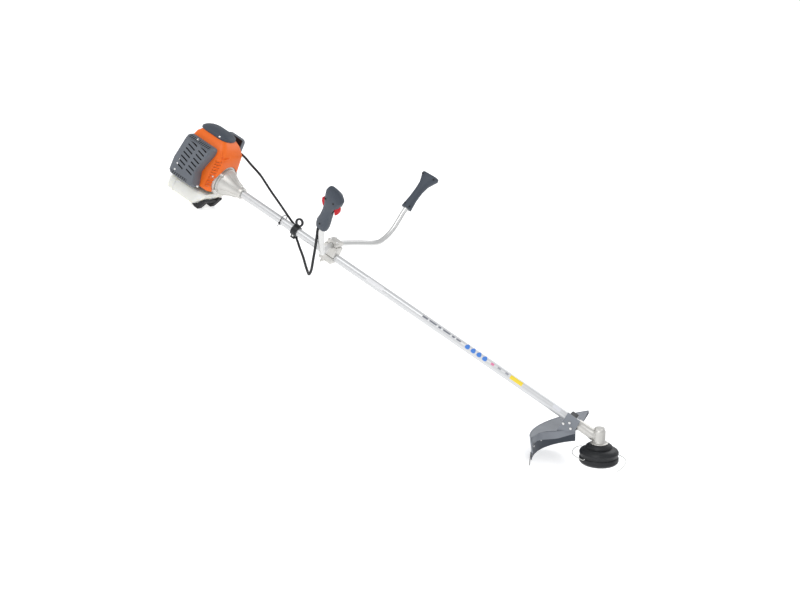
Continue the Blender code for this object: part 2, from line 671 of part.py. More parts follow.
def tank_and_stand(root, skin, floor):
    """Translucent fuel tank with its cap, and the two-footed stand in front of it."""
    rear, front = TANK_REAR, TANK_REAR + TANK_LENGTH
    top = -FAN_RADIUS - 0.003
    bottom, half, slope = TANK_BOTTOM, TANK_HALF_WIDTH, 0.038

    def sections(wall):
        return [tank_ring(rear + wall, bottom + 0.008 + wall, top - 0.006 - wall, half - 0.008 - wall, 0.012),
                tank_ring(rear + 0.010 + wall, bottom + wall, top - wall, half - wall, 0.014),
                tank_ring(front - slope - 0.008, bottom + wall, top - wall, half - wall, 0.014),
                tank_ring(front - slope, bottom + 0.004 + wall, top - wall, half - wall, 0.014),
                tank_ring(front - 0.004 - wall, top - 0.016 + wall / 2, top - wall, half - 0.006 - wall, 0.006)]

    tank = loft("fuel_tank", sections(0.0), root, skin["tank"])
    neck = (rear + 0.040, 0.0, (top + bottom) / 2)
    neck_radius, neck_top = 0.014, half + 0.008
    change(tank, disc("neck", neck_radius, half - 0.012, neck_top, root, None, at=neck,
                      turn=ALONG_Y), "UNION")
    change(tank, loft("tank_hollow", sections(0.0022), root, None))
    change(tank, disc("filler", neck_radius - 0.003, half - 0.02, neck_top + 0.01, root, None,
                      at=neck, turn=ALONG_Y))
    cap_radius, cap_floor = 0.018, neck_top + GAP
    turned("fuel_cap", [
        (0.0, cap_floor + 0.005), (cap_radius - 0.002, cap_floor + 0.005),
        (cap_radius, cap_floor + 0.003), (cap_radius, half + 0.001),
        (neck_radius + GAP, half + 0.001), (neck_radius + GAP, cap_floor), (0.0, cap_floor),
    ], root, skin["black"], at=neck, turn=ALONG_Y)

    side, air = FOOT_SPACING / 2, 0.0012
    heel, toe = front - slope - 0.002, front - 0.006
    crest = top - 0.020
    foot = [(heel + 0.006, floor(heel + 0.006)), (toe - 0.012, floor(toe - 0.012)),
            (toe - 0.004, floor(toe) + 0.016), (toe + 0.007, crest - 0.006), (toe + 0.005, crest)]
    slant = (front - slope, bottom + 0.004), (front - 0.004, top - 0.016)
    run = (slant[1][0] - slant[0][0]) / (slant[1][1] - slant[0][1])
    foot.append((slant[0][0] + run * (crest - slant[0][1]) + 2 * air, crest))
    foot.append((heel + 0.002, bottom - air))
    foot.append((heel - 0.010, bottom - air))
    stand = side_plate("stand", foot, side - FOOT_WIDTH / 2, side + FOOT_WIDTH / 2, root,
                       skin["rubber"])
    change(stand, side_plate("other_foot", foot, -side - FOOT_WIDTH / 2, -side + FOOT_WIDTH / 2,
                             root, None), "UNION")
    change(stand, block("cross_bar", (toe - 0.0055, -side, crest - 0.018),
                        (toe + 0.0015, side, crest - 0.0075), root, None), "UNION")


# ---------------------------------------------------------------- shaft and handlebar
def shaft(root, skin):
    """Tube, drive shaft, bushing, hanger and guard bracket."""
    tube_end = TUBE_EXPOSED + TUBE_SEATED
    inner = TUBE_RADIUS - TUBE_WALL
    disc("shaft_tube", TUBE_RADIUS, -TUBE_SEATED, tube_end, root, skin["tube"], bore=inner,
         turn=ALONG_X, steps=32)
    disc("drive_shaft", DRIVE_RADIUS, -0.079, HEAD_X - 0.013, root, skin["steel"],
         turn=ALONG_X, steps=12)
    for i in range(BUSHING_COUNT):
        middle = TUBE_EXPOSED * (i + 0.5) / BUSHING_COUNT
        disc("shaft_bushing_%d" % (i + 1), inner - GAP, middle - BUSHING_LENGTH / 2,
             middle + BUSHING_LENGTH / 2, root, skin["bronze"], bore=DRIVE_RADIUS + GAP,
             turn=ALONG_X, steps=16)

    grip, half, wall = TUBE_RADIUS + GAP, 0.011, 0.005
    hanger = disc("harness_hanger", grip + wall, HANGER_X - half, HANGER_X + half, root,
                  skin["black"], bore=grip, turn=ALONG_X)
    eye_height, eye_radius, eye_hole = grip + wall + 0.013, 0.016, 0.009
    change(hanger, disc("eye", eye_radius, -0.003, 0.003, root, None,
                        at=(HANGER_X, 0, eye_height), turn=ALONG_Y), "UNION")
    change(hanger, block("hanger_lug", (HANGER_X - 0.008, -0.006, -grip - wall - 0.010),
                         (HANGER_X + 0.008, 0.006, -grip - 0.0013), root, None), "UNION")
    change(hanger, disc("eye_hole", eye_hole, -0.01, 0.01, root, None,
                        at=(HANGER_X, 0, eye_height), turn=ALONG_Y))


def handlebar(root, skin):
    """Three-piece clamp, the bar, and a frame for either grip."""
    half, side = CLAMP_LENGTH / 2, 0.022
    tube_bore, bar_bore = TUBE_RADIUS + GAP, BAR_RADIUS + 2 * GAP
    bar = empty("bar_frame", root, (CLAMP_X, 0, BAR_HEIGHT))
    tube_cut = disc("clamp_tube_bore", tube_bore, CLAMP_X - 0.05, CLAMP_X + 0.05, root, None,
                    turn=ALONG_X)
    bar_cut = disc("clamp_bar_bore", bar_bore, -0.06, 0.06, bar, None, turn=ALONG_Y)
    low, top = -TUBE_RADIUS - 0.010, BAR_HEIGHT + BAR_RADIUS + 0.008
    lower = block("clamp_lower", (CLAMP_X - half, -side, low), (CLAMP_X + half, side, -GAP),
                  root, skin["cast"], bevel=0.003)
    change(lower, tube_cut)
    middle = block("clamp_middle", (CLAMP_X - half, -side, GAP),
                   (CLAMP_X + half, side, BAR_HEIGHT - GAP), root, skin["cast"], bevel=0.003)
    change(middle, tube_cut)
    change(middle, bar_cut)
    cap = block("clamp_cap", (CLAMP_X - half * 0.8, -side, BAR_HEIGHT + GAP),
                (CLAMP_X + half * 0.8, side, top), root, skin["cast"], bevel=0.003)
    change(cap, bar_cut)
    screw_at = (CLAMP_X - half * 0.55, 0, low - GAP)
    change(lower, disc("screw_head", 0.007, -0.006, 0.002, root, None, at=screw_at), "UNION")
    change(lower, block("screw_wing", (screw_at[0] - 0.0025, -0.015, screw_at[2] - 0.014),
                        (screw_at[0] + 0.0025, 0.015, screw_at[2] - 0.004), root, None), "UNION")

    straight = [(0.0, 0.012, 0.0), (0.0, 0.024, 0.0), (0.001, 0.037, 0.0)]
    arms = {-1: [(0.025, 0.108, 0.015), (0.051, 0.180, 0.030), (0.059, 0.213, 0.049),
                 (0.061, 0.250, 0.087)],
            1: [(0.031, 0.108, 0.009), (0.063, 0.180, 0.018), (0.073, 0.213, 0.035),
                (0.075, 0.250, 0.073)]}
    slants = {-1: (math.radians(27.0), math.radians(6.6)), 1: (math.radians(31.0), math.radians(-2.0))}
    route, frames = [], {}
    for away, label in ((-1, "right_grip_frame"), (1, "left_grip_frame")):
        lean, sweep = slants[away]
        along = Vector((math.sin(sweep) * math.cos(lean), away * math.sin(lean),
                        math.cos(sweep) * math.cos(lean)))
        base = Vector((GRIP_FORWARD, away * GRIP_SPREAD, GRIP_RISE))
        side_route = [Vector((x, away * y, z)) for x, y, z in straight + arms[away]]
        side_route += [base - along * 0.024, base, base + along * 0.028, base + along * 0.060]
        route = list(reversed(side_route)) if away < 0 else route + side_route
        frames[away] = empty(label, bar, base, (-away * lean, sweep, 0))
    rod("handlebar", smooth_route(route, 0.022), BAR_RADIUS, bar, skin["tube"])
    return frames[-1], frames[1], right_end(bar, frames[-1])


def right_end(bar, right):
    """Where the throttle cable leaves the right grip, and a point straight below it."""
    local = []
    for depth in (-0.026, -0.0008):
        point = right.matrix_basis @ Vector((-0.0160, 0.0, depth))
        local.append(bar.matrix_basis @ point)
    return local


def grip_rings(levels):
    """Sections of a handgrip: height, middle, half depth fore and aft, half width."""
    rings = []
    for height, middle, half_x, half_y in levels:
        rings.append([(x, y, height) for x, y in
                      rounded(half_x, half_y, min(half_x, half_y) * 0.85, 3, (middle, 0.0))])
    return rings


def throttle_grip(frame, skin):
    """Two half shells with trigger, lockout and stop switch between and on them."""
    tall = GRIP_HEIGHT
    levels = [(0.0, -0.004, 0.020, 0.0145), (0.010, -0.004, 0.022, 0.0155),
              (0.028, -0.004, 0.0225, 0.0165), (0.056, -0.001, 0.019, 0.016),
              (0.084, 0.000, 0.0175, 0.016), (0.108, 0.003, 0.021, 0.018),
              (0.126, 0.008, 0.029, 0.0195), (0.146, 0.008, 0.031, 0.0195),
              (tall - 0.008, 0.002, 0.026, 0.018), (tall, -0.004, 0.017, 0.012)]
    slot = TRIGGER_WIDTH / 2 + RUN
    trigger_top, lockout_top = 0.128, 0.122
    for label, away in (("throttle_grip_left_half", -1), ("throttle_grip_right_half", 1)):
        half = loft(label, grip_rings(levels), frame, skin["slate"])
        near, far = sorted((-away * GAP / 2, away * 0.06))
        change(half, block(label + "_split", (-0.08, near, -0.02), (0.08, far, 0.2), frame, None))
        change(half, disc(label + "_bore", BAR_RADIUS + 2 * GAP, -0.02, 0.063, frame, None))
        change(half, block(label + "_trigger_slot", (0.004, -slot, trigger_top - 0.044),
                           (0.08, slot, trigger_top + 0.003), frame, None))
        change(half, block(label + "_lockout_slot", (-0.08, -slot, 0.082),
                           (-0.007, slot, lockout_top + 0.003), frame, None))
        if away < 0:
            change(half, block("switch_well", (0.006, 0.012, 0.136), (0.022, 0.04, 0.150),
                               frame, None))
    pivot_x, pivot_z = 0.014, trigger_top - 0.007
    pull = [(-0.006, -0.005), (0.0, -0.008), (0.009, -0.020), (0.012, -0.031), (0.017, -0.033),
            (0.022, -0.025), (0.0245, -0.013), (0.022, -0.001), (0.016, 0.007), (-0.004, 0.007)]
    pivot_frame = empty("trigger_pivot", frame, (pivot_x, 0, pivot_z))
    wide = TRIGGER_WIDTH / 2
    side_plate("throttle_trigger", pull, -wide, wide, pivot_frame, skin["red"])
    lock_frame = empty("lockout_pivot", frame, (-0.012, 0, lockout_top - 0.032))
    press = [(0.003, -0.004), (0.003, 0.004), (-0.001, 0.014), (-0.010, 0.025), (-0.015, 0.028),
             (-0.019, 0.024), (-0.017, 0.012), (-0.012, 0.002), (-0.005, -0.004)]
    side_plate("throttle_lockout", press, -wide, wide, lock_frame, skin["red"])
    block("stop_switch", (0.0065 + GAP, 0.0145, 0.1365 + GAP), (0.0215 - GAP, 0.0235, 0.1495 - GAP),
          frame, skin["black"], bevel=0.0012)


def left_grip(frame, skin):
    """The plain grip for the left hand, flared at its top."""
    levels = [(0.0, 0.0, 0.0205, 0.0145), (0.014, 0.0, 0.0185, 0.015), (0.045, 0.0, 0.0155, 0.0150),
              (0.080, 0.001, 0.0155, 0.0155), (0.108, 0.003, 0.019, 0.017),
              (0.130, 0.005, 0.028, 0.019), (0.144, 0.006, 0.035, 0.019), (0.151, 0.006, 0.033, 0.016)]
    grip = loft("left_grip", grip_rings(levels), frame, skin["slate"])
    change(grip, disc("left_bore", BAR_RADIUS + 2 * GAP, -0.02, 0.063, frame, None))


def throttle_conduit(root, skin, landing):
    """The throttle cable's sleeve, from the carburettor to the foot of the throttle grip."""
    route = [(-0.1700, 0.071, 0.082), (-0.156, 0.071, 0.089), (-0.140, 0.071, 0.094),
             (-0.117, 0.0700, 0.097), (-0.085, 0.064, 0.0955), (-0.046, 0.050, 0.092),
             (0.017, 0.027, 0.088), (0.052, 0.024, 0.075), (0.088, 0.022, 0.060),
             (0.124, 0.018, 0.048), (0.159, 0.014, 0.036),
             (0.204, 0.015, 0.0165), (0.222, 0.022, 0.006), (0.236, 0.026, -0.006),
             (0.246, 0.022, -0.020), (0.256, 0.013, -0.029), (0.271, 0.005, -0.035),
             (0.290, -0.008, -0.041), (0.334, -0.045, -0.046), (0.378, -0.090, -0.0486),
             (0.409, -0.125, -0.0456), (0.428, -0.150, -0.0376), (0.441, -0.180, -0.005),
             (0.446, -0.215, 0.047), (0.4485, -0.245, 0.097), (0.451, -0.268, 0.131)]
    rod("throttle_conduit", smooth_route(route + landing, 0.014), 0.0045, root, skin["black"], resolution=1)


# ---------------------------------------------------------------- head and guard
def gearbox(root, head, skin):
    """Angled gearbox: cast body, bevel pair, spindle and output flange."""
    arm = TUBE_RADIUS + 0.0025
    body = turned("gearbox", [
        (0.0, -0.003), (0.012, -0.003), (arm + 0.002, -0.020), (arm + 0.002, -0.028), (arm, -0.036),
        (arm, TUBE_EXPOSED - HEAD_X), (0.0, TUBE_EXPOSED - HEAD_X),
    ], root, skin["cast"], at=(HEAD_X, 0, 0), turn=ALONG_X)
    change(body, turned("gearbox_barrel", [
        (0.0, GEARBOX_TOP), (GEARBOX_RADIUS - 0.004, GEARBOX_TOP),
        (GEARBOX_RADIUS - 0.003, GEARBOX_TOP - 0.002), (GEARBOX_RADIUS - 0.003, GEARBOX_TOP - 0.006),
        (GEARBOX_RADIUS, GEARBOX_TOP - 0.010), (GEARBOX_RADIUS, GEARBOX_BOTTOM + 0.004),
        (GEARBOX_RADIUS + 0.004, GEARBOX_BOTTOM), (0.0, GEARBOX_BOTTOM),
    ], head, None), "UNION")
    chamber = GEARBOX_RADIUS - 0.003
    tube_end = TUBE_EXPOSED + TUBE_SEATED
    gear_top, gear_low = -0.0040, -0.0080
    change(body, disc("gear_chamber", chamber, gear_low - GAP, GEARBOX_TOP - 0.014, head, None))
    change(body, disc("spindle_bore", SPINDLE_RADIUS + GAP, GEARBOX_BOTTOM - 0.01, 0.0, head, None))
    change(body, disc("arm_socket", TUBE_RADIUS + GAP, TUBE_EXPOSED - 0.01, tube_end + GAP,
                      root, None, turn=ALONG_X))
    change(body, disc("pinion_bore", 0.0105, tube_end - 0.01, HEAD_X - 0.0047, root, None, turn=ALONG_X))

    pinion_rear, pinion_front = HEAD_X - 0.0125, HEAD_X - 0.006
    finned_wheel("pinion", 14, 0.0070, 0.8, (pinion_rear, pinion_front), root, skin["dark_steel"],
                 top_share=0.65)

    spindle_low = HEAD_TOP + 0.0015 - 0.030
    gear_radius = chamber - RUN
    turned("spindle", [
        (0.0, 0.003), (SPINDLE_RADIUS, 0.003), (SPINDLE_RADIUS, gear_top + 0.001),
        (gear_radius - 0.0035, gear_top + 0.001), (gear_radius, gear_top - 0.0005),
        (gear_radius, gear_low), (SPINDLE_RADIUS, gear_low), (SPINDLE_RADIUS, spindle_low),
        (0.0, spindle_low),
    ], head, skin["steel"])
    flange_top = GEARBOX_BOTTOM - GAP
    turned("output_flange", [
        (SPINDLE_RADIUS + GAP, flange_top), (0.024, flange_top), (0.0275, flange_top - 0.0015),
        (0.0275, HEAD_TOP + GAP), (SPINDLE_RADIUS + GAP, HEAD_TOP + GAP),
    ], head, skin["cast"], steps=32)


def trimmer_head(head, skin):
    """Bump-feed head: two shells, spool, tap knob and the two line ends."""
    outer, wall = HEAD_RADIUS, SHELL_WALL
    top, seam, bottom = HEAD_TOP, HEAD_SEAM, HEAD_BOTTOM
    bore = SPINDLE_RADIUS + GAP
    turned("head_upper", [
        (bore, top), (0.031, top), (0.0405, top - 0.0065), (0.0415, top - 0.0085),
        (0.0400, top - 0.0095), (0.0415, top - 0.0115), (0.0400, top - 0.0125),
        (0.0420, top - 0.0135), (0.0500, top - 0.0160), (0.0580, top - 0.0210),
        (outer - 0.0005, top - 0.0270), (outer - 0.0015, top - 0.0335), (outer - 0.004, seam + 0.004),
        (outer - 0.004, seam), (outer - 0.007, seam), (outer - 0.007, seam + 0.005),
        (outer - 0.005, top - 0.0290), (0.052, top - 0.0230), (0.038, top - 0.0165),
        (bore, top - 0.0150),
    ], head, skin["black"], steps=28)
    mouth = TAP_RADIUS + 0.0015
    turned("head_lower", [
        (outer - 0.007, seam - GAP), (outer - 0.003, seam - GAP), (outer - 0.0005, seam - 0.003),
        (outer - 0.0005, seam - 0.014), (outer - 0.004, bottom + 0.003), (outer - 0.008, bottom),
        (mouth, bottom), (mouth, bottom + wall), (outer - 0.010, bottom + wall),
        (outer - 0.007, bottom + 0.006),
    ], head, skin["black"], steps=28)
    spool_top = top - 0.016 - 3 * TAP_TRAVEL
    spool_low = bottom + wall + 0.007
    wound, rim = 0.044, outer - wall - 0.010
    turned("spool", [
        (0.010, spool_top), (rim, spool_top), (rim, spool_top - 0.002), (wound, spool_top - 0.002),
        (wound, spool_low + 0.002), (rim - 0.006, spool_low + 0.002), (rim - 0.006, spool_low),
        (0.010, spool_low),
    ], head, skin["black"])
    turned("tap_knob", [
        (0.0, spool_low - GAP), (TAP_RADIUS, spool_low - GAP), (TAP_RADIUS, bottom - 0.006),
        (TAP_RADIUS - 0.006, bottom - 0.012), (0.0, bottom - 0.013),
    ], head, skin["black"])
    for label, start, spread, droop in (("line_end_left", math.radians(-122), 0.046, 0.0),
                                        ("line_end_right", math.radians(56), 0.054, 0.008)):
        reach = ((0.0, 0.0018, 0.0), (-0.30, 0.004, 0.0), (-0.75, 0.016, 0.0), (-1.15, 0.028, 0.0),
                 (-1.55, 0.042, droop / 2), (-1.80, spread, droop))
        route = [((outer + out) * math.cos(start + turn), (outer + out) * math.sin(start + turn),
                  seam - 0.002 - drop) for turn, out, drop in reach]
        rod(label, smooth_route(route, 0.010), LINE_RADIUS, head, skin["nylon"], resolution=1)


def deck_height(u):
    """Height of the guard's deck, which falls away from the tube to the rim."""
    return DECK_TOP + (u - DECK_EDGE) * math.tan(DECK_SLOPE)


def sweep_wall(label, section, start, end, parent, skin, count):
    """A wall round the head's axis: section(angle) gives (radius, height) anticlockwise."""
    rings = []
    for i in range(count + 1):
        angle = start + (end - start) * i / count
        rings.append([(radius * math.cos(angle), radius * math.sin(angle), height)
                      for radius, height in section(angle)])
    return face_outwards(loft(label, rings, parent, skin))


def guard(root, head, skin):
    """Guard with its side plate and bolts, tube bracket, skirt and line knife."""
    outer, wall, foot = GUARD_RADIUS, GUARD_WALL, GUARD_FOOT
    flare = 0.006

    def rim_section(angle):
        rim = deck_height(outer * math.cos(angle)) + 0.001
        rise = max(0.0, 1.0 - (angle - GUARD_START) / math.radians(10))
        low = foot + (rim - 0.008 - foot) * rise
        return [(outer - flare - wall, low), (outer - flare, low), (outer, rim), (outer - wall, rim)]

    shell = sweep_wall("guard", rim_section, GUARD_START, GUARD_END, head, skin["black"], 18)
    near = -TUBE_RADIUS - 0.010
    deck_angles = [GUARD_START + 0.01, math.radians(205)]
    rim_radius = outer - flare / 2
    arc = [deck_angles[1] + (deck_angles[0] - deck_angles[1]) * i / 14 for i in range(15)]
    edge = [(DECK_EDGE, near), (-0.127, near), (-0.163, near - 0.002), (-0.183, near - 0.021),
            (-0.190, near - 0.054)]
    outline = edge + [(rim_radius * math.cos(a), rim_radius * math.sin(a)) for a in arc]
    outline.append((DECK_EDGE, 0.050))
    flat = [((u - DECK_EDGE) / math.cos(DECK_SLOPE), v) for u, v in outline]
    change(shell, plate("deck", flat, -wall, 0.0, head, None, at=(DECK_EDGE, 0, DECK_TOP),
                        turn=(0, -DECK_SLOPE, 0)), "UNION")
    change(shell, disc("tube_notch", TUBE_RADIUS + 0.004, TUBE_EXPOSED - 0.06, TUBE_EXPOSED + 0.04,
                       root, None, turn=ALONG_X))
    post = [(TUBE_EXPOSED - 0.042, 0.023), (TUBE_EXPOSED - 0.042, -0.050),
            (TUBE_EXPOSED + 0.005, -0.014), (TUBE_EXPOSED + 0.004, 0.022)]
    change(shell, side_plate("post", post, near, near + 0.003, root, None), "UNION")
    bracket_low, bracket_high = TUBE_EXPOSED - 0.036, TUBE_EXPOSED - 0.012
    side = TUBE_RADIUS + 0.006
    bracket = block("guard_bracket", (bracket_low, near + 0.003 + GAP, -0.021),
                    (bracket_high, side, 0.020), root, skin["black"], bevel=0.003)
    change(bracket, disc("bracket_bore", TUBE_RADIUS + GAP, bracket_low - 0.01,
                         bracket_high + 0.01, root, None, turn=ALONG_X))

    skirt_start, skirt_end = math.radians(126), math.radians(197)
    radius, thick = outer - flare, 0.0028

    def skirt_section(angle):
        return [(radius - thick, SKIRT_BOTTOM), (radius, SKIRT_BOTTOM),
                (radius, foot - GAP), (radius - thick, foot - GAP)]

    sweep_wall("skirt", skirt_section, skirt_start, skirt_end, head, skin["slate"], 14)
    knife = []
    for reach in (radius + 0.001, radius + 0.003):
        knife.append([(r * math.cos(a), r * math.sin(a), h) for r, a, h in (
            (reach, skirt_end - 0.06, SKIRT_BOTTOM + 0.022),
            (reach, skirt_end - 0.06, SKIRT_BOTTOM + 0.001),
            (reach + 0.008, skirt_end + 0.24, SKIRT_BOTTOM + 0.001))])
    face_outwards(loft("line_knife", knife, head, skin["steel"]))


# ---------------------------------------------------------------- the whole machine
def stand_on_floor(root):
    """Move the machine until its box stands on the origin by the middle of its base."""
    bpy.context.view_layer.update()
    graph = bpy.context.evaluated_depsgraph_get()
    low, high = Vector((1e9,) * 3), Vector((-1e9,) * 3)
    for thing in bpy.data.collections[PARTS].objects:
        if thing.type != "MESH":
            continue
        solid = thing.evaluated_get(graph)
        for vert in solid.data.vertices:
            point = solid.matrix_world @ vert.co
            for axis in range(3):
                low[axis] = min(low[axis], point[axis])
                high[axis] = max(high[axis], point[axis])
    root.location = (-(low.x + high.x) / 2, -(low.y + high.y) / 2, -low.z)


def build():
    """Make every sub-part in the shaft's frame, then tip the machine onto the floor."""
    clear_scene()
    skin = make_finishes()
    sine, cosine = math.sin(HEAD_ANGLE), math.cos(HEAD_ANGLE)
    reach = GUARD_RADIUS - 0.006
    touch_x = HEAD_X - reach * cosine - SKIRT_BOTTOM * sine
    touch_z = SKIRT_BOTTOM * cosine - reach * sine
    foot_x = TANK_REAR + TANK_LENGTH - 0.018
    tilt = math.atan2(FOOT_BOTTOM - touch_z, touch_x - foot_x)

    def floor(x):
        return FOOT_BOTTOM - (x - foot_x) * math.tan(tilt)

    root = empty("machine", turn=(0, -tilt, 0))
    head = empty("head_frame", root, (HEAD_X, 0, 0), (0, -HEAD_ANGLE, 0))
    crank_train(root, skin)
    starter(root, skin)
    fan_and_clutch(root, skin)
    covers(root, skin)
    muffler_and_intake(root, skin)
    tank_and_stand(root, skin, floor)
    shaft(root, skin)
    right, left, landing = handlebar(root, skin)
    throttle_grip(right, skin)
    left_grip(left, skin)
    throttle_conduit(root, skin, landing)
    gearbox(root, head, skin)
    trimmer_head(head, skin)
    guard(root, head, skin)
    stand_on_floor(root)


build()
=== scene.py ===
# %% [markdown]
# # A petrol string trimmer, finished in numpy and shader nodes
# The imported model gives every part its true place. This lesson leaves those solids alone
# and builds the looks round them: softened copies of the moulded parts, turned and swept
# details worked out with numpy, and a procedural finish for each material.
# Lengths are in metres.

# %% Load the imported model
import json
import math

import bmesh
import bpy
import numpy as np
from mathutils import Matrix, Vector


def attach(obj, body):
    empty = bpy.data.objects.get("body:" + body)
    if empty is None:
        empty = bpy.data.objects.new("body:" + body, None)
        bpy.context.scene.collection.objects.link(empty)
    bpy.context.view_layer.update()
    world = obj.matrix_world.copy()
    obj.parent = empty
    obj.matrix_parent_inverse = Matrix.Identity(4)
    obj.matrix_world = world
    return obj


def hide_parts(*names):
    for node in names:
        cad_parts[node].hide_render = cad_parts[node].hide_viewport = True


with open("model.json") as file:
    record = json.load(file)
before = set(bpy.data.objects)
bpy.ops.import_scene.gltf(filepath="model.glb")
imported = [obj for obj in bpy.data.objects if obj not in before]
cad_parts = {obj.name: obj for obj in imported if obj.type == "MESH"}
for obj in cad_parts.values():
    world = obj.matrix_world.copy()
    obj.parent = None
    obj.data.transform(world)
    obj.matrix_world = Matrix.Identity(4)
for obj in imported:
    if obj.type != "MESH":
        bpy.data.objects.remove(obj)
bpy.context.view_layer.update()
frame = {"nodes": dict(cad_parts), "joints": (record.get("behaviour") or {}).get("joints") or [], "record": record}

# %% [markdown]
# ## Working frames
# The machine leans on its stand and its guard, so nothing runs along the world's axes.
# Each joint in the record states a point and an axis, which is enough to rebuild the
# slanted frames: the shaft's, the cutting head's and the two handgrips'.
# A detail is then placed by the plain numbers that a maker would measure on that part.

# %% Frames from the joints
joints = {joint["name"]: joint for joint in frame["joints"]}


def frame_of(origin, x_axis, y_axis):
    """4 x 4 matrix with columns x, y, x cross y and the origin."""
    x_axis, y_axis = Vector(x_axis).normalized(), Vector(y_axis).normalized()
    matrix = Matrix((x_axis, y_axis, x_axis.cross(y_axis))).transposed().to_4x4()
    matrix.translation = Vector(origin)
    return matrix


SIDE = Vector((0, 1, 0))
shaft = frame_of(joints["drive_spin"]["pos_m"], joints["drive_spin"]["axis"], SIDE)
head_up = Vector(joints["head_spin"]["axis"])
head = frame_of(joints["head_spin"]["pos_m"], SIDE.cross(head_up), SIDE)
BAR_MIDDLE = Vector((0.400, 0.0, 0.038))
GRIP_FOOT = Vector((0.0675, 0.298, 0.151))


def grip_frame(away, lean, sweep):
    """Frame at a grip's foot: the bar's middle, then an offset, then a lean and a sweep."""
    foot = BAR_MIDDLE + Vector((GRIP_FOOT.x, away * GRIP_FOOT.y, GRIP_FOOT.z))
    swept_back = Matrix.Rotation(math.radians(sweep), 4, "Y")
    leaned_out = Matrix.Rotation(math.radians(-away * lean), 4, "X")
    return shaft @ Matrix.Translation(foot) @ swept_back @ leaned_out


right_grip = grip_frame(-1, 27.0, 6.6)
left_grip = grip_frame(1, 31.0, -2.0)
print("shaft starts at", [round(v, 3) for v in shaft.translation])


def to_world(matrix, points):
    """Carry an array of points (..., 3) by a 4 x 4 matrix: rotate, then add the shift."""
    m = np.array(matrix)
    return np.asarray(points, float) @ m[:3, :3].T + m[:3, 3]


# %% [markdown]
# ## Camera and light
# The machine is seen from its front right, a little above, with the camera rolled so that
# the shaft runs down across the frame. The camera's place is worked out in the shaft's
# frame from those three angles, a distance and the point it looks at.
# A white world and three large soft lamps give the shadowless light of a product picture.

# %% Camera
AZIMUTH, ELEVATION, ROLL = (math.radians(a) for a in (17.56, 22.34, 27.56))
LOOK_AT, DISTANCE, LENS = Vector((0.7017, 0.0, 0.0059)), 3.2796, 44.04


def camera_frame():
    """Back along the line of sight, then right and up turned about it by the roll."""
    back = Vector((math.sin(AZIMUTH) * math.cos(ELEVATION), -math.cos(AZIMUTH) * math.cos(ELEVATION),
                   math.sin(ELEVATION)))
    level = Vector((math.cos(AZIMUTH), math.sin(AZIMUTH), 0.0))
    upward = back.cross(level)
    right = math.cos(ROLL) * level + math.sin(ROLL) * upward
    matrix = Matrix((right, back.cross(right), back)).transposed().to_4x4()
    matrix.translation = LOOK_AT + back * DISTANCE
    return shaft @ matrix


scene = bpy.context.scene
camera = bpy.data.objects.new("camera", bpy.data.cameras.new("camera"))
scene.collection.objects.link(camera)
camera.matrix_world = camera_frame()
camera.data.lens, camera.data.sensor_width = LENS, 36.0
camera.data.clip_start, camera.data.clip_end = 0.05, 100.0
scene.camera = camera
scene.view_settings.view_transform = "Standard"
scene.view_settings.look = "None"
print("camera", [round(v, 3) for v in camera.matrix_world.translation])


# %% Lights
def soft_lamp(name, place, aim, size, watts):
    """A square area lamp at one point, turned to face another."""
    lamp = bpy.data.lights.new(name, "AREA")
    lamp.shape, lamp.size, lamp.energy = "SQUARE", size, watts
    holder = bpy.data.objects.new(name, lamp)
    scene.collection.objects.link(holder)
    aim, place = Vector(aim), Vector(place)
    turn = (aim - place).to_track_quat("-Z", "Y").to_matrix().to_4x4()
    holder.matrix_world = Matrix.Translation(place) @ turn
    return holder


soft_lamp("key", (-1.2, -2.2, 2.8), (0.0, 0.0, 0.1), 1.4, 34.0)
soft_lamp("fill", (2.4, -1.4, 1.8), (0.1, 0.0, 0.1), 1.6, 12.0)
soft_lamp("rim", (0.2, 2.6, 2.4), (0.0, 0.0, 0.1), 1.6, 24.0)
world = bpy.data.worlds.new("white_room")
world.use_nodes = True
sky = world.node_tree.nodes["Background"]
sky.inputs["Color"].default_value = (0.97, 0.98, 1.0, 1.0)
SKY_LIGHT, SKY_SEEN = 0.72, 1.05
seen = world.node_tree.nodes.new("ShaderNodeLightPath")
level = world.node_tree.nodes.new("ShaderNodeMapRange")
level.inputs["To Min"].default_value, level.inputs["To Max"].default_value = SKY_LIGHT, SKY_SEEN
world.node_tree.links.new(seen.outputs["Is Camera Ray"], level.inputs["Value"])
world.node_tree.links.new(level.outputs[0], sky.inputs["Strength"])
scene.world = world

# %% [markdown]
# ## Writing shaders as sums
# A Math node is awkward to read in a long script. The small class below wraps one socket
# and teaches Python's operators to add the Math node for it, so a pattern reads like the
# formula it is. One method adds every other kind of node.


# %% Socket arithmetic
class Term:
    """One output socket of a node tree, with arithmetic that adds Math nodes."""

    def __init__(self, tree, socket):
        self.tree, self.socket = tree, socket

    def math(self, operation, *others, swap=False):
        node = self.tree.nodes.new("ShaderNodeMath")
        node.operation = operation
        terms = [self, *others]
        if swap:
            terms.reverse()
        for place, term in enumerate(terms):
            plug(self.tree, node.inputs[place], term)
        return Term(self.tree, node.outputs[0])

    def __add__(self, other):
        return self.math("ADD", other)

    def __sub__(self, other):
        return self.math("SUBTRACT", other)

    def __rsub__(self, other):
        return self.math("SUBTRACT", other, swap=True)

    def __mul__(self, other):
        return self.math("MULTIPLY", other)

    def __gt__(self, other):
        return self.math("GREATER_THAN", other)

    def __lt__(self, other):
        return self.math("LESS_THAN", other)


def plug(tree, target, value):
    """Link a term to an input socket, or set the socket to a plain value."""
    if isinstance(value, Term):
        tree.links.new(value.socket, target)
    else:
        target.default_value = value


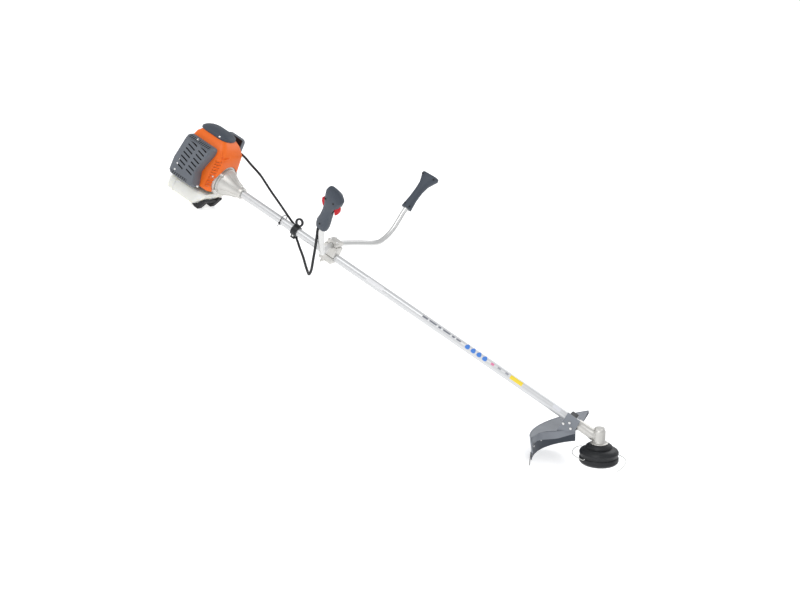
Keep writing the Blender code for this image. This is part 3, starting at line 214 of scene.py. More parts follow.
class Finish:
    """A material with its Principled shader and the pattern nodes that feed it."""

    def __init__(self, name, colour, roughness, metallic=0.0, **settings):
        self.material = bpy.data.materials.new(name)
        self.material.use_nodes = True
        self.tree = self.material.node_tree
        self.shader = self.tree.nodes["Principled BSDF"]
        self.colour = (*colour, 1.0)
        self.material.diffuse_color = self.colour
        self.set("Base Color", self.colour)
        self.set("Roughness", roughness)
        self.set("Metallic", metallic)
        for socket, value in settings.items():
            self.set(socket.replace("_", " "), value)

    def set(self, socket, value):
        plug(self.tree, self.shader.inputs[socket], value)

    def node(self, kind, settings=None, output=0, **sockets):
        """Add a node, set its own options first, then its sockets by name or number."""
        node = self.tree.nodes.new("ShaderNode" + kind)
        for option, value in (settings or {}).items():
            setattr(node, option, value)
        for socket, value in sockets.items():
            numbered = socket[0] == "n" and socket[1:].isdigit()
            key = int(socket[1:]) if numbered else socket.replace("_", " ")
            plug(self.tree, node.inputs[key], value)
        return Term(self.tree, node.outputs[output])

    def place(self):
        """Object coordinates, which are the row's own metres on every piece."""
        return self.node("TexCoord", output="Object")

    def grain(self, scale, detail=2.0, roughness=0.5, where=None):
        """Noise from 0 to 1 with so many features to the metre."""
        return self.node("TexNoise", output="Fac", Vector=where or self.place(), Scale=scale,
                         Detail=detail, Roughness=roughness)

    def mix(self, factor, first, second):
        """One colour turning into another as the factor goes from 0 to 1."""
        node = self.tree.nodes.new("ShaderNodeMix")
        node.data_type = "RGBA"
        plug(self.tree, node.inputs["Factor"], factor)
        for slot, value in (("A", first), ("B", second)):
            socket = next(s for s in node.inputs if s.name == slot and s.type == "RGBA")
            plug(self.tree, socket, value if isinstance(value, Term) else (*value[:3], 1.0))
        return Term(self.tree, next(s for s in node.outputs if s.type == "RGBA"))

    def bump(self, height, distance, strength=1.0):
        """Small relief: the height pattern tilts the surface by so many metres."""
        self.set("Normal", self.node("Bump", Height=height, Distance=distance, Strength=strength))

    def steps(self, value, low, high):
        """A straight ramp from 0 at low to 1 at high, held flat outside them."""
        return self.node("MapRange", {"clamp": True}, Value=value, From_Min=low, From_Max=high)


print("shader helpers ready")

# %% [markdown]
# ## Finishes
# Injection-moulded plastic is never one flat colour: its tool leaves a fine grain, its gloss
# wanders slowly over a panel, and handling polishes it. Each plastic below mixes its colour
# a few per cent with slow noise, moves its roughness with a second noise, and takes a fine
# bump from a third. Cast metal has a coarser pebbled skin, drawn tube has lengthwise lines.


# %% Plastics
def moulded(name, colour, roughness, grain_size, depth, shift=0.06, **settings):
    """Moulded plastic: slow tint and gloss noise, and a fine grain as relief."""
    finish = Finish(name, colour, roughness, **settings)
    slow = finish.grain(14.0, 3.0)
    dark = tuple(c * (1.0 - shift) for c in colour)
    light = tuple(min(1.0, c * (1.0 + shift)) for c in colour)
    finish.set("Base Color", finish.mix(finish.steps(slow, 0.3, 0.7), dark, light))
    finish.set("Roughness", finish.grain(38.0, 2.0) * 0.14 + (roughness - 0.07))
    finish.bump(finish.grain(1.0 / grain_size, 2.0, 0.6), depth, 0.5)
    return finish


finishes = {
    "orange": moulded("orange_shell", (0.80, 0.140, 0.008), 0.42, 0.0016, 0.00016, 0.03,
                      Specular_IOR_Level=0.35),
    "slate": moulded("slate_plastic", (0.050, 0.061, 0.079), 0.54, 0.0011, 0.00022,
                     Specular_IOR_Level=0.35),
    "grey": moulded("guard_grey_plastic", (0.118, 0.130, 0.150), 0.52, 0.0012, 0.00022,
                    Specular_IOR_Level=0.35),
    "black": moulded("black_plastic", (0.0135, 0.0145, 0.0165), 0.44, 0.0012, 0.00022, 0.12,
                     Specular_IOR_Level=0.30),
    "red": moulded("trigger_red", (0.50, 0.002, 0.012), 0.46, 0.0015, 0.00012, 0.05,
                   Specular_IOR_Level=0.22),
    "nylon": moulded("line_nylon", (0.52, 0.53, 0.50), 0.34, 0.002, 0.00010),
    "rubber": moulded("foot_rubber", (0.012, 0.012, 0.013), 0.74, 0.0014, 0.00030, 0.15),
    "foam": moulded("filter_foam", (0.035, 0.036, 0.040), 0.95, 0.0018, 0.0009, 0.3),
    "clear": moulded("primer_clear", (0.70, 0.74, 0.74), 0.16, 0.003, 0.00006,
                     Transmission_Weight=0.75, IOR=1.45),
}
print("plastics:", sorted(finishes))


# %% Metals
def cast_metal():
    """Die-cast alloy: pebbled skin from two noises, with darker hollows."""
    finish = Finish("cast_alloy", (0.56, 0.55, 0.52), 0.42, 0.8)
    coarse = finish.grain(620.0, 3.0, 0.65)
    slow = finish.grain(22.0, 2.0)
    finish.set("Base Color", finish.mix(finish.steps(coarse * 0.5 + slow * 0.5, 0.35, 0.65),
                                        (0.52, 0.51, 0.485), (0.65, 0.64, 0.61)))
    finish.set("Roughness", coarse * 0.22 + 0.32)
    finish.bump(coarse, 0.0004, 0.6)
    return finish


def brushed_metal(name, colour, roughness, line_scale, metallic=1.0):
    """Turned or ground metal: noise squeezed along one direction reads as fine lines."""
    finish = Finish(name, colour, roughness, metallic)
    stretched = finish.node("Mapping", {"vector_type": "POINT"}, output="Vector",
                            Vector=finish.place(), Scale=(0.03, 1.0, 1.0))
    lines = finish.grain(line_scale, 3.0, 0.6, where=stretched)
    finish.set("Roughness", lines * 0.2 + (roughness - 0.1))
    finish.set("Base Color", finish.mix(lines, tuple(c * 0.9 for c in colour), colour))
    finish.bump(lines, 0.00008, 0.4)
    return finish


finishes["cast"] = cast_metal()
finishes["steel"] = brushed_metal("bright_steel", (0.62, 0.62, 0.61), 0.28, 900.0)
finishes["dark_steel"] = brushed_metal("dark_steel", (0.16, 0.155, 0.15), 0.46, 700.0)
finishes["bronze"] = brushed_metal("sintered_bronze", (0.55, 0.36, 0.16), 0.42, 700.0)
finishes["chrome"] = brushed_metal("screw_chrome", (0.80, 0.80, 0.79), 0.18, 500.0)
print("metals ready")

# %% [markdown]
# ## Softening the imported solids
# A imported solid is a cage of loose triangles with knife-sharp edges. No moulding looks like
# that: every edge has a small radius that catches the light. A copy of the solid is merged,
# its flat triangles are joined into faces, and a Bevel modifier rounds the edges that turn
# by more than thirty degrees, while the rest is shaded smooth.


# %% Soft copies
def take_finish(piece, finish):
    """Give a piece its only material."""
    piece.data.materials.clear()
    piece.data.materials.append(finishes[finish].material)
    return piece


def shade_by_angle(mesh, degrees):
    """Smooth every face, then mark as sharp each edge whose faces meet at more than this."""
    work = bmesh.new()
    work.from_mesh(mesh)
    limit = math.radians(degrees)
    for edge in work.edges:
        edge.smooth = len(edge.link_faces) == 2 and edge.calc_face_angle(0.0) < limit
    for face in work.faces:
        face.smooth = True
    work.to_mesh(mesh)
    work.free()


def body_of(node):
    """The body that lists this node in the record."""
    return next(b for b, nodes in frame["record"]["behaviour"]["bodies"].items() if node in nodes)


def soften(node, finish, radius=0.0007, degrees=32.0, segments=2):
    """Stand-in for a node: merged copy, joined flats, rounded edges, smooth shading."""
    mesh = frame["nodes"][node].data.copy()
    work = bmesh.new()
    work.from_mesh(mesh)
    bmesh.ops.remove_doubles(work, verts=work.verts, dist=2e-6)
    bmesh.ops.dissolve_limit(work, angle_limit=math.radians(0.6), verts=work.verts, edges=work.edges)
    work.to_mesh(mesh)
    work.free()
    shade_by_angle(mesh, degrees)
    piece = bpy.data.objects.new(node + "_skin", mesh)
    scene.collection.objects.link(piece)
    if radius:
        bevel = piece.modifiers.new("edge", "BEVEL")
        bevel.width, bevel.segments, bevel.limit_method = radius, segments, "ANGLE"
        bevel.angle_limit, bevel.harden_normals = math.radians(degrees), True
    take_finish(piece, finish)
    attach(piece, body_of(node))
    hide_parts(node)


SOFT = {
    "orange": ("cylinder_cover",),
    "slate": ("top_cover", "starter_housing", "throttle_grip_left_half", "throttle_grip_right_half",
              "left_grip"),
    "grey": ("muffler_guard", "filter_cover"),
    "black": ("harness_hanger", "guard_bracket", "head_upper", "head_lower",
              "tap_knob", "fuel_cap", "filter_knob", "starter_handle", "stop_switch", "choke_lever",
              "filter_base"),
    "red": ("throttle_trigger", "throttle_lockout"),
    "cast": ("crankcase", "cylinder", "fan_housing", "clutch_housing", "clamp_lower", "clamp_middle",
             "clamp_cap", "gearbox", "output_flange", "carburettor"),
    "dark_steel": ("muffler",),
}
for finish, names in SOFT.items():
    for name in names:
        soften(name, finish)
soften("stand", "rubber", 0.0035, 30.0, 4)
print("softened:", 1 + sum(map(len, SOFT.values())))

# %% Inner parts keep their solids and only take a finish
INNER = {
    "steel": ("connecting_rod", "crank_front", "crank_rear", "drive_shaft", "piston",
              "spark_plug", "spindle"),
    "dark_steel": ("line_knife", "clutch_drum", "clutch_shoe_left", "clutch_shoe_right", "pinion"),
    "cast": ("flywheel",),
    "bronze": ("shaft_bushing_1", "shaft_bushing_2"),
    "black": ("spool", "starter_pulley"),
    "foam": ("filter_element",),
    "clear": ("primer_bulb",),
}
for finish, names in INNER.items():
    for name in names:
        part = frame["nodes"][name]
        part.data.materials.clear()
        part.data.materials.append(finishes[finish].material)
print("inner parts:", sum(map(len, INNER.values())))

# %% [markdown]
# ## The drawn tube and its marks
# The long tube is anodised aluminium, so its skin carries faint lines along its length.
# Its stickers are paint on the surface: bands of the shaft's own x and of the angle round
# the tube, cut out with comparisons. A Mapping node turned into the shaft's frame gives
# those two numbers. The marks are plain shapes: a pale label, four blue dots, a yellow block.


# %% Tube finish
def shaft_place(finish):
    """Object coordinates carried into the shaft's frame: x along it, y left, z up."""
    angle = shaft.to_euler("XYZ")
    return finish.node("Mapping", {"vector_type": "TEXTURE"}, output="Vector", Vector=finish.place(),
                       Location=tuple(shaft.translation), Rotation=tuple(angle))


def between(value, low, high):
    """1 where a value lies between two limits, and 0 elsewhere."""
    return (value > low) * (value < high)


def tube_finish():
    """Satin aluminium with lengthwise lines; plain marks lie along its top."""
    finish = Finish("satin_tube", (0.60, 0.605, 0.61), 0.42, 0.7)
    at = shaft_place(finish)
    parts = finish.tree.nodes.new("ShaderNodeSeparateXYZ")
    plug(finish.tree, parts.inputs[0], at)
    x, y, z = (Term(finish.tree, parts.outputs[i]) for i in range(3))
    stretched = finish.node("Mapping", {"vector_type": "POINT"}, output="Vector", Vector=at,
                            Scale=(0.02, 1.0, 1.0))
    lines = finish.grain(1400.0, 3.0, 0.6, where=stretched)
    colour = finish.mix(lines, (0.56, 0.565, 0.57), (0.68, 0.685, 0.69))
    paint = None

    def mark(low, high, shade, height=0.0035, top=0.0125):
        nonlocal colour, paint
        area = between(x, low, high) * between(z, height, top) * (y < 0.0)
        colour = finish.mix(area, colour, shade)
        paint = area if paint is None else paint.math("MAXIMUM", area)

    mark(0.566, 0.634, (0.75, 0.75, 0.76), 0.001)
    for i, (low, high) in enumerate(((0.800, 0.822), (0.828, 0.858), (0.865, 0.876), (0.884, 0.914),
                                     (0.921, 0.932), (0.938, 0.956))):
        mark(low, high, (0.16, 0.17, 0.20), 0.0075 if i % 2 else 0.0070, 0.0115)
    for i in range(4):
        middle = 0.984 + 0.023 * i
        disc = ((x - middle) * (x - middle) + (z - 0.0078) * (z - 0.0078) * 1.8) < 0.0085 ** 2
        disc = disc * (y < 0.0)
        colour = finish.mix(disc, colour, (0.05, 0.20, 0.62))
        paint = paint.math("MAXIMUM", disc)
    mark(1.078, 1.090, (0.72, 0.20, 0.36), 0.0050, 0.0110)
    mark(1.104, 1.116, (0.30, 0.31, 0.34), 0.0065, 0.0110)
    mark(1.134, 1.146, (0.30, 0.31, 0.34), 0.0065, 0.0110)
    mark(1.154, 1.201, (0.84, 0.64, 0.04), 0.0020, 0.0128)
    mark(1.318, 1.346, (0.66, 0.67, 0.70), 0.0040)
    finish.set("Base Color", colour)
    finish.set("Metallic", (1.0 - paint) * 0.7)
    finish.set("Roughness", lines * 0.16 + 0.36 + paint * 0.08)
    finish.bump(lines, 0.00006, 0.4)
    return finish


finishes["tube"] = tube_finish()
finishes["bar"] = brushed_metal("bar_aluminium", (0.66, 0.66, 0.65), 0.34, 1100.0, 0.85)
soften("shaft_tube", "tube", 0.0004, 40.0)
print("tube finished")

# %% [markdown]
# ## The blow-moulded tank
# The tank is milky polyethylene: light goes in, scatters and comes out again, so its edges
# glow and the fuel shows as a soft shadow. Subsurface scattering with a short radius gives
# that, with a slow waviness in its skin from the blow mould and a raised seam where the two
# mould halves met.


# %% Tank finish
def tank_finish():
    """Milky plastic: scattering under a satin skin with slow waves."""
    finish = Finish("milky_tank", (0.80, 0.79, 0.70), 0.38, Subsurface_Weight=0.35,
                    Subsurface_Scale=0.012)
    finish.shader.inputs["Subsurface Radius"].default_value = (1.0, 0.9, 0.6)
    slow = finish.grain(18.0, 2.0)
    finish.set("Base Color", finish.mix(slow, (0.76, 0.75, 0.66), (0.84, 0.835, 0.76)))
    finish.set("Roughness", slow * 0.16 + 0.30)
    finish.bump(finish.grain(45.0, 2.0) + finish.grain(900.0, 1.0) * 0.08, 0.0007, 0.5)
    return finish


finishes["tank"] = tank_finish()
soften("fuel_tank", "tank", 0.0030, 24.0, 3)
# Paler grey than the other grey plastic: painted light for the guard's up-facing deck.
finishes["deck"] = moulded("guard_deck_painted_light", (0.185, 0.200, 0.225), 0.46, 0.0012, 0.00022)
print("tank finished")

# %% [markdown]
# ## Surfaces on a grid
# Every new piece is one of three surfaces: a profile turned about an axis, a round section
# carried along a path, or a box whose faces are pushed out of its middle. Each is worked out
# as one array of points with two parameters, and its faces are index sums, so no loop ever
# visits a single vertex.


# %% Grid helpers
def grid_mesh(name, points, wrap_rows=False, wrap_columns=True):
    """Quads between neighbouring rows and columns of a (rows, columns, 3) array of points."""
    rows, columns = points.shape[:2]
    r = np.arange(rows if wrap_rows else rows - 1)[:, None]
    c = np.arange(columns if wrap_columns else columns - 1)[None, :]
    r2, c2 = (r + 1) % rows, (c + 1) % columns
    quads = np.stack([r * columns + c, r * columns + c2, r2 * columns + c2, r2 * columns + c], -1)
    mesh = bpy.data.meshes.new(name)
    mesh.from_pydata(points.reshape(-1, 3).tolist(), [], quads.reshape(-1, 4).tolist())
    return mesh


def closed_piece(name, mesh, finish, body, degrees=40.0):
    """Merge the poles, turn the faces outwards, shade by angle, and let it ride on its body."""
    work = bmesh.new()
    work.from_mesh(mesh)
    bmesh.ops.remove_doubles(work, verts=work.verts, dist=1e-6)
    bmesh.ops.dissolve_degenerate(work, dist=1e-7, edges=work.edges)
    bmesh.ops.recalc_face_normals(work, faces=work.faces)
    work.to_mesh(mesh)
    work.free()
    shade_by_angle(mesh, degrees)
    piece = bpy.data.objects.new(name, mesh)
    scene.collection.objects.link(piece)
    take_finish(piece, finish)
    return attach(piece, body)


def turned(profile, steps=32, lobes=None):
    """Points of a profile [(radius, height)] carried once round the z axis.

    lobes is (row, share, count): that row's radius gains share * cos(count * angle)."""
    profile = np.array(profile, float)
    angle = np.linspace(0.0, 2.0 * np.pi, steps, endpoint=False)[None, :]
    radius = np.repeat(profile[:, :1], steps, 1)
    for row, share, count in lobes or ():
        radius[row] = radius[row] * (1.0 + share * np.cos(count * angle[0]))
    height = np.repeat(profile[:, 1:2], steps, 1)
    return np.stack([radius * np.cos(angle), radius * np.sin(angle), height], -1)


def facing(axis):
    """Rotation that takes +z onto a direction."""
    return Vector(axis).to_track_quat("Z", "Y").to_matrix().to_4x4()


def swept(path, radius, sides=12):
    """Tube round a path: at each point a circle in the plane across the path's tangent.

    radius is a number or one value for each point of the path."""
    path = np.asarray(path, float)
    tangent = np.gradient(path, axis=0)
    tangent /= np.linalg.norm(tangent, axis=1)[:, None]
    across = np.empty_like(path)
    guess = np.cross(tangent[0], [0.31, 0.17, 0.93])
    for i, along in enumerate(tangent):
        guess = guess - along * guess.dot(along)
        guess /= np.linalg.norm(guess)
        across[i] = guess
    other = np.cross(tangent, across)
    angle = np.linspace(0.0, 2.0 * np.pi, sides, endpoint=False)[None, :, None]
    radius = np.broadcast_to(np.asarray(radius, float), (len(path),))[:, None, None]
    ring = across[:, None] * np.cos(angle) + other[:, None] * np.sin(angle)
    tube = path[:, None] + radius * ring
    first, last = (np.repeat(path[i][None, None], sides, 1) for i in (0, -1))
    return np.concatenate([first, tube, last])


def rounded_box(half, corner, steps=4):
    """Box with round edges: each octant's corner centre plus the corner radius times the normal."""
    half, corner = np.asarray(half, float), min(corner, *half)
    quarter = np.linspace(0.0, np.pi / 2, steps + 1)
    turn = (quarter[None, :] + np.arange(4)[:, None] * np.pi / 2).ravel()
    turn_sign = np.repeat(np.arange(4), steps + 1)
    rise = np.concatenate([-quarter[::-1], quarter])
    rise_sign = np.repeat([-1.0, 1.0], steps + 1)
    normal = np.stack([np.cos(rise)[:, None] * np.cos(turn)[None],
                       np.cos(rise)[:, None] * np.sin(turn)[None],
                       np.repeat(np.sin(rise)[:, None], len(turn), 1)], -1)
    sx = np.where((turn_sign == 0) | (turn_sign == 3), 1.0, -1.0)
    sy = np.where(turn_sign < 2, 1.0, -1.0)
    signs = np.stack([np.repeat(sx[None], len(rise), 0), np.repeat(sy[None], len(rise), 0),
                      np.repeat(rise_sign[:, None], len(turn), 1)], -1)
    body = signs * (half - corner) + corner * normal
    low, high = (np.zeros((1, len(turn), 3)) + (0, 0, s * half[2]) for s in (-1.0, 1.0))
    return np.concatenate([low, body, high])


def smooth_path(points, spacing):
    """Catmull-Rom curve through the points, resampled at an even spacing."""
    p = np.array([points[0], *points, points[-1]], float)
    p[0], p[-1] = 2 * p[1] - p[2], 2 * p[-2] - p[-3]
    t = np.linspace(0.0, 1.0, 24, endpoint=False)[None, :, None]
    a, b, c, d = (p[i:len(p) - 3 + i, None] for i in range(4))
    dense = 0.5 * (2 * b + (c - a) * t + (2 * a - 5 * b + 4 * c - d) * t ** 2
                   + (3 * b - a - 3 * c + d) * t ** 3)
    dense = np.concatenate([dense.reshape(-1, 3), p[-2][None]])
    run = np.concatenate([[0.0], np.cumsum(np.linalg.norm(np.diff(dense, axis=0), axis=1))])
    even = np.linspace(0.0, run[-1], max(2, int(round(run[-1] / spacing)) + 1))
    return np.stack([np.interp(even, run, dense[:, i]) for i in range(3)], -1)


print("grid helpers ready")

# %% [markdown]
# ## Screws
# One turned profile serves for every screw: a low domed head with a sunk recess whose wall
# is pushed in and out six times round its circle.


# %% Screws
def screw(name, where, axis, radius=0.0042, base=None, body="machine", finish="chrome"):
    """Domed head with a six-lobed recess, standing on a point with its axis outwards."""
    r = radius
    profile = [(0.0, 0.30 * r), (0.34 * r, 0.30 * r), (0.38 * r, 0.62 * r), (0.52 * r, 0.66 * r),
               (0.80 * r, 0.56 * r), (0.96 * r, 0.34 * r), (r, 0.10 * r), (r, -0.25 * r),
               (0.0, -0.25 * r)]
    points = turned(profile, 36, lobes=((1, 0.14, 6), (2, 0.14, 6)))
    base = shaft if base is None else base
    matrix = base @ Matrix.Translation(where) @ facing(axis)
    return closed_piece(name, grid_mesh(name, to_world(matrix, points)), finish, body, 34.0)


RIGHT_FACE = -0.1003
SCREWS = [
    ("guard_screw_low", (-0.232, RIGHT_FACE, -0.024), (0, -1, 0), 0.0040),
    ("guard_screw_front", (-0.121, RIGHT_FACE, -0.030), (0, -1, 0), 0.0040),
    ("cover_screw", (-0.101, -0.0645, 0.019), (0, -1, 0), 0.0036),
]
for name, where, axis, radius in SCREWS:
    screw(name, where, axis, radius)
print("screws:", len(SCREWS))

# %% [markdown]
# ## Handlebar
# The bar is one round tube bent from grip to grip through the clamp. Its middle line is a
# smooth curve through the clamp, two bends on either side and the axis of each grip.

# %% Handlebar tube
BAR_RADIUS = 0.0095
STRAIGHT = [(0.0, 0.012, 0.0), (0.0, 0.024, 0.0), (0.001, 0.037, 0.0)]
ARMS = {-1: [(0.025, 0.108, 0.015), (0.051, 0.180, 0.030), (0.059, 0.213, 0.049),
             (0.061, 0.250, 0.087)],
        1: [(0.031, 0.108, 0.009), (0.063, 0.180, 0.018), (0.073, 0.213, 0.035),
            (0.075, 0.250, 0.073)]}
BAR_STEP = 0.005
arm = {}
for away, grip in ((-1, right_grip), (1, left_grip)):
    arm[away] = [tuple(shaft @ (BAR_MIDDLE + Vector((x, away * y, z))))
                 for x, y, z in STRAIGHT + ARMS[away]]
    arm[away] += [tuple(grip @ Vector((0.0, 0.0, depth))) for depth in (-0.024, 0.0, 0.028, 0.060)]
route = smooth_path(arm[-1][::-1] + arm[1], BAR_STEP)
bar = closed_piece("handlebar_tube", grid_mesh("handlebar_tube", swept(route, BAR_RADIUS, 28)), "bar",
                   "machine")
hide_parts("handlebar")
print("handlebar", round(BAR_STEP * (len(route) - 1), 3), "m along its middle")

# %% [markdown]
# ## The throttle cable's sleeve
# A ribbed polymer tube guards the cable from the carburettor to the grip. Its route is the
# packed tube's own. The rings are one wave of the radius along that route, with a crest
# every few millimetres, so a single swept surface gives every rib.

# %% Conduit
right_drop = [right_grip @ Vector((-0.0160, 0.0, depth)) for depth in (-0.026, -0.0008)]
to_shaft = shaft.inverted()
CONDUIT = [(-0.1700, 0.071, 0.082), (-0.156, 0.071, 0.089), (-0.140, 0.071, 0.094),
           (-0.117, 0.0700, 0.097), (-0.085, 0.064, 0.0955), (-0.046, 0.050, 0.092),
           (0.017, 0.027, 0.088), (0.052, 0.024, 0.075), (0.088, 0.022, 0.060),
           (0.124, 0.018, 0.048), (0.159, 0.014, 0.036), (0.204, 0.015, 0.0165),
           (0.222, 0.022, 0.006), (0.236, 0.026, -0.006), (0.246, 0.022, -0.020),
           (0.256, 0.013, -0.029), (0.271, 0.005, -0.035), (0.290, -0.008, -0.041),
           (0.334, -0.045, -0.046), (0.378, -0.090, -0.0486), (0.409, -0.125, -0.0456),
           (0.428, -0.150, -0.0376), (0.441, -0.180, -0.005), (0.446, -0.215, 0.047),
           (0.4485, -0.245, 0.097), (0.451, -0.268, 0.131)]
CONDUIT += [tuple(to_shaft @ point) for point in right_drop]
RIB_PITCH, SLEEVE_RADIUS, RIB_DEPTH = 0.0036, 0.0045, 0.0007
route = smooth_path(CONDUIT, RIB_PITCH / 4)
wave = np.arange(len(route)) % 4 < 2
sleeve = swept(to_world(shaft, route), SLEEVE_RADIUS - RIB_DEPTH * wave, 14)
conduit = closed_piece("conduit_sleeve", grid_mesh("conduit_sleeve", sleeve), "black", "machine",
                       degrees=25.0)
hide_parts("throttle_conduit")
print("conduit", round((len(route) - 1) * RIB_PITCH / 4, 3), "m,", len(route) // 4, "ribs")

# %% [markdown]
# ## Cutting line
# Two nylon tails leave the drum and curl back towards the way they were wound. Each is a
# short cord, drawn as a curve with a round bevel.


# %% Line tails
HEAD_RADIUS, HEAD_SEAM, LINE_RADIUS = 0.062, -0.0565, 0.0012
for side, start, spread, droop in (("left", -122, 0.046, 0.0), ("right", 56, 0.054, 0.008)):
    start = math.radians(start)
    reach = ((0.0, 0.0018, 0.0), (-0.30, 0.004, 0.0), (-0.75, 0.016, 0.0), (-1.15, 0.028, 0.0),
             (-1.55, 0.042, droop / 2), (-1.80, spread, droop))
    path = smooth_path([((HEAD_RADIUS + out) * math.cos(start + turn),
                         (HEAD_RADIUS + out) * math.sin(start + turn), HEAD_SEAM - 0.002 - drop)
                        for turn, out, drop in reach], 0.006)
    path = to_world(head, path)
    curve = bpy.data.curves.new("line_tail_" + side, "CURVE")
    curve.dimensions, curve.bevel_depth, curve.use_fill_caps = "3D", LINE_RADIUS, True
    curve.bevel_resolution, curve.resolution_u = 3, 2
    spline = curve.splines.new("POLY")
    spline.points.add(len(path) - 1)
    spline.points.foreach_set("co", np.c_[path, np.ones(len(path))].ravel())
    tail = bpy.data.objects.new("line_tail_" + side, curve)
    scene.collection.objects.link(tail)
    take_finish(tail, "nylon")
    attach(tail, "cutting_head")
    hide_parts("line_end_" + side)

# %% [markdown]
# ## Guard, skirt and knife
# The guard is one curved moulding, painted a paler grey than the other grey plastic: painted
# light for its deck, which faces up. It ends, towards the operator, in a rolled front edge that
# stiffens it. A row of small screws holds the skirt below it, and three bolts clamp the side
# plate to the tube's bracket.

# %% Guard finishes and rolled front edge
# The guard takes the paler deck grey, which is painted light.
soften("guard", "deck", 0.0006, 30.0)
soften("skirt", "slate", 0.0006, 30.0)


def ribbon(name, path, drop, thick, matrix, finish, body):
    """A bent strip hanging from a path: two faces a wall apart, joined all round.

    The wall is measured across the strip, level with the path's own plane."""
    path = np.asarray(path, float)
    along = np.gradient(path, axis=0)
    out = np.cross(along, [0.0, 0.0, 1.0])
    out /= np.linalg.norm(out, axis=1)[:, None]
    drop = np.broadcast_to(np.asarray(drop, float), (len(path),))[:, None]
    down = drop * np.array([[0.0, 0.0, -1.0]])
    corners = np.stack([path, path + out * thick, path + out * thick + down, path + down], 1)
    ends = [np.repeat(corners[i].mean(0)[None, None], 4, 1) for i in (0, -1)]
    points = to_world(matrix, np.concatenate([ends[0], corners, ends[1]]))
    return closed_piece(name, grid_mesh(name, points), finish, body, 30.0)


EDGE = [(-0.074, -0.012, 0.0245), (-0.100, -0.018, 0.0205), (-0.127, -0.0285, 0.0155),
        (-0.152, -0.031, 0.0110), (-0.170, -0.036, 0.0080), (-0.183, -0.052, 0.0055),
        (-0.189, -0.072, 0.0045), (-0.192, -0.090, 0.0035)]
edge_path = smooth_path(EDGE, 0.006)
share = np.linspace(0.0, 1.0, len(edge_path))
# The rolled front edge takes the same painted-light grey.
ribbon("guard_front_lip", edge_path, 0.014 + 0.010 * np.sin(np.pi * share), -0.0026, head, "deck",
       "machine")
print("guard lip points", len(edge_path))

# %% Bolts on the side plate and screws in the skirt
PLATE_FACE = -0.0252
for i, (x, z) in enumerate(((1.376, -0.016), (1.391, -0.002), (1.403, -0.016))):
    screw("plate_bolt_%d" % i, (x, PLATE_FACE, z), (0, -1, 0), 0.0046)
for i, degrees in enumerate((132.0, 150.0, 168.0, 186.0)):
    turn = math.radians(degrees)
    out = Vector((-math.cos(turn), -math.sin(turn), 0.0))
    screw("skirt_screw_%d" % i, -out * 0.2072 + Vector((0, 0, -0.047)), out, 0.0034, base=head)
print("bolts and skirt screws placed")

# %% [markdown]
# ## Engine covers
# The orange cover breathes through ten slots, and each has a small hood over it. The grey
# muffler guard has a raised frame round its face and rows of fine ribs along its edges; thin
# black sheets behind the ribs and in its slot are painted shade. Hoods and ribs are all the
# same rounded box at other sizes, so one short function lays them out in rows.


# %% Rows of ribs
def ribs(name, centres, half, corner, turn, finish, base=None, body="machine"):
    """One piece made of equal rounded boxes, each turned alike and set on its own centre."""
    box = rounded_box(half, corner, 2) @ np.array(turn.to_3x3()).T
    rows, columns = box.shape[:2]
    r, c = np.arange(rows - 1)[:, None], np.arange(columns)[None, :]
    c2 = (c + 1) % columns
    quads = np.stack([r * columns + c, r * columns + c2, (r + 1) * columns + c2,
                      (r + 1) * columns + c], -1)
    centres = np.asarray(centres, float)
    points = centres[:, None, :] + box.reshape(-1, 3)[None]
    faces = quads.reshape(-1, 4)[None] + (np.arange(len(centres)) * rows * columns)[:, None, None]
    mesh = bpy.data.meshes.new(name)
    world_points = to_world(shaft if base is None else base, points.reshape(-1, 3))
    mesh.from_pydata(world_points.tolist(), [], faces.reshape(-1, 4).tolist())
    return closed_piece(name, mesh, finish, body, 50.0)


LOUVRES = 10
share = np.linspace(0.0, 1.0, LOUVRES)
louvre_centres = np.stack([-0.107 + 0.004 * share, np.full(LOUVRES, -0.0646),
                           -0.0215 + 0.098 * share], -1)
ribs("cover_louvres", louvre_centres, (0.0125, 0.0016, 0.0016), 0.0012,
     Matrix.Rotation(math.radians(-18), 4, "Y"), "orange")

TOP_RIBS = 13
x = np.linspace(-0.229, -0.137, TOP_RIBS)
ribs("guard_top_ribs", np.stack([x, np.full(TOP_RIBS, -0.0905), np.full(TOP_RIBS, 0.1110)], -1),
     (0.0019, 0.0095, 0.0012), 0.0008, Matrix.Rotation(math.radians(29), 4, "X"), "grey")
# Painted shade: a thin black sheet under the top ribs stands for the shade between them.
ribs("guard_top_painted_shade", [(-0.183, -0.0912, 0.1102)], (0.049, 0.0080, 0.0008), 0.0006,
     Matrix.Rotation(math.radians(29), 4, "X"), "black")
LOW_RIBS = 8
x = np.linspace(-0.240, -0.176, LOW_RIBS)
ribs("guard_low_ribs", np.stack([x, np.full(LOW_RIBS, -0.1003), np.full(LOW_RIBS, -0.0375)], -1),
     (0.0022, 0.0012, 0.0055), 0.0008, Matrix.Rotation(math.radians(12), 4, "Y"), "grey")
# Painted shade: a thin black sheet behind the low ribs.
ribs("guard_low_painted_shade", [(-0.2080, -0.1003, -0.0375)], (0.0365, 0.0005, 0.0050), 0.0004,
     Matrix.Identity(4), "black")
# Painted shade: a thin black sheet behind the guard's slot.
ribs("guard_slot_painted_shade", [(-0.205, -0.0945, 0.036)], (0.028, 0.0005, 0.056), 0.0004,
     Matrix.Identity(4), "black")
SIDE_RIBS = 14
lean = np.linspace(0.0, 1.0, SIDE_RIBS)
ribs("guard_side_ribs", np.stack([-0.1520 + 0.0250 * lean, np.full(SIDE_RIBS, -0.0790),
                                  0.0185 + 0.066 * lean], -1),
     (0.0016, 0.0085, 0.0013), 0.0008, Matrix.Rotation(math.radians(18), 4, "Y"), "grey")
print("ribs:", LOUVRES + TOP_RIBS + LOW_RIBS + SIDE_RIBS)

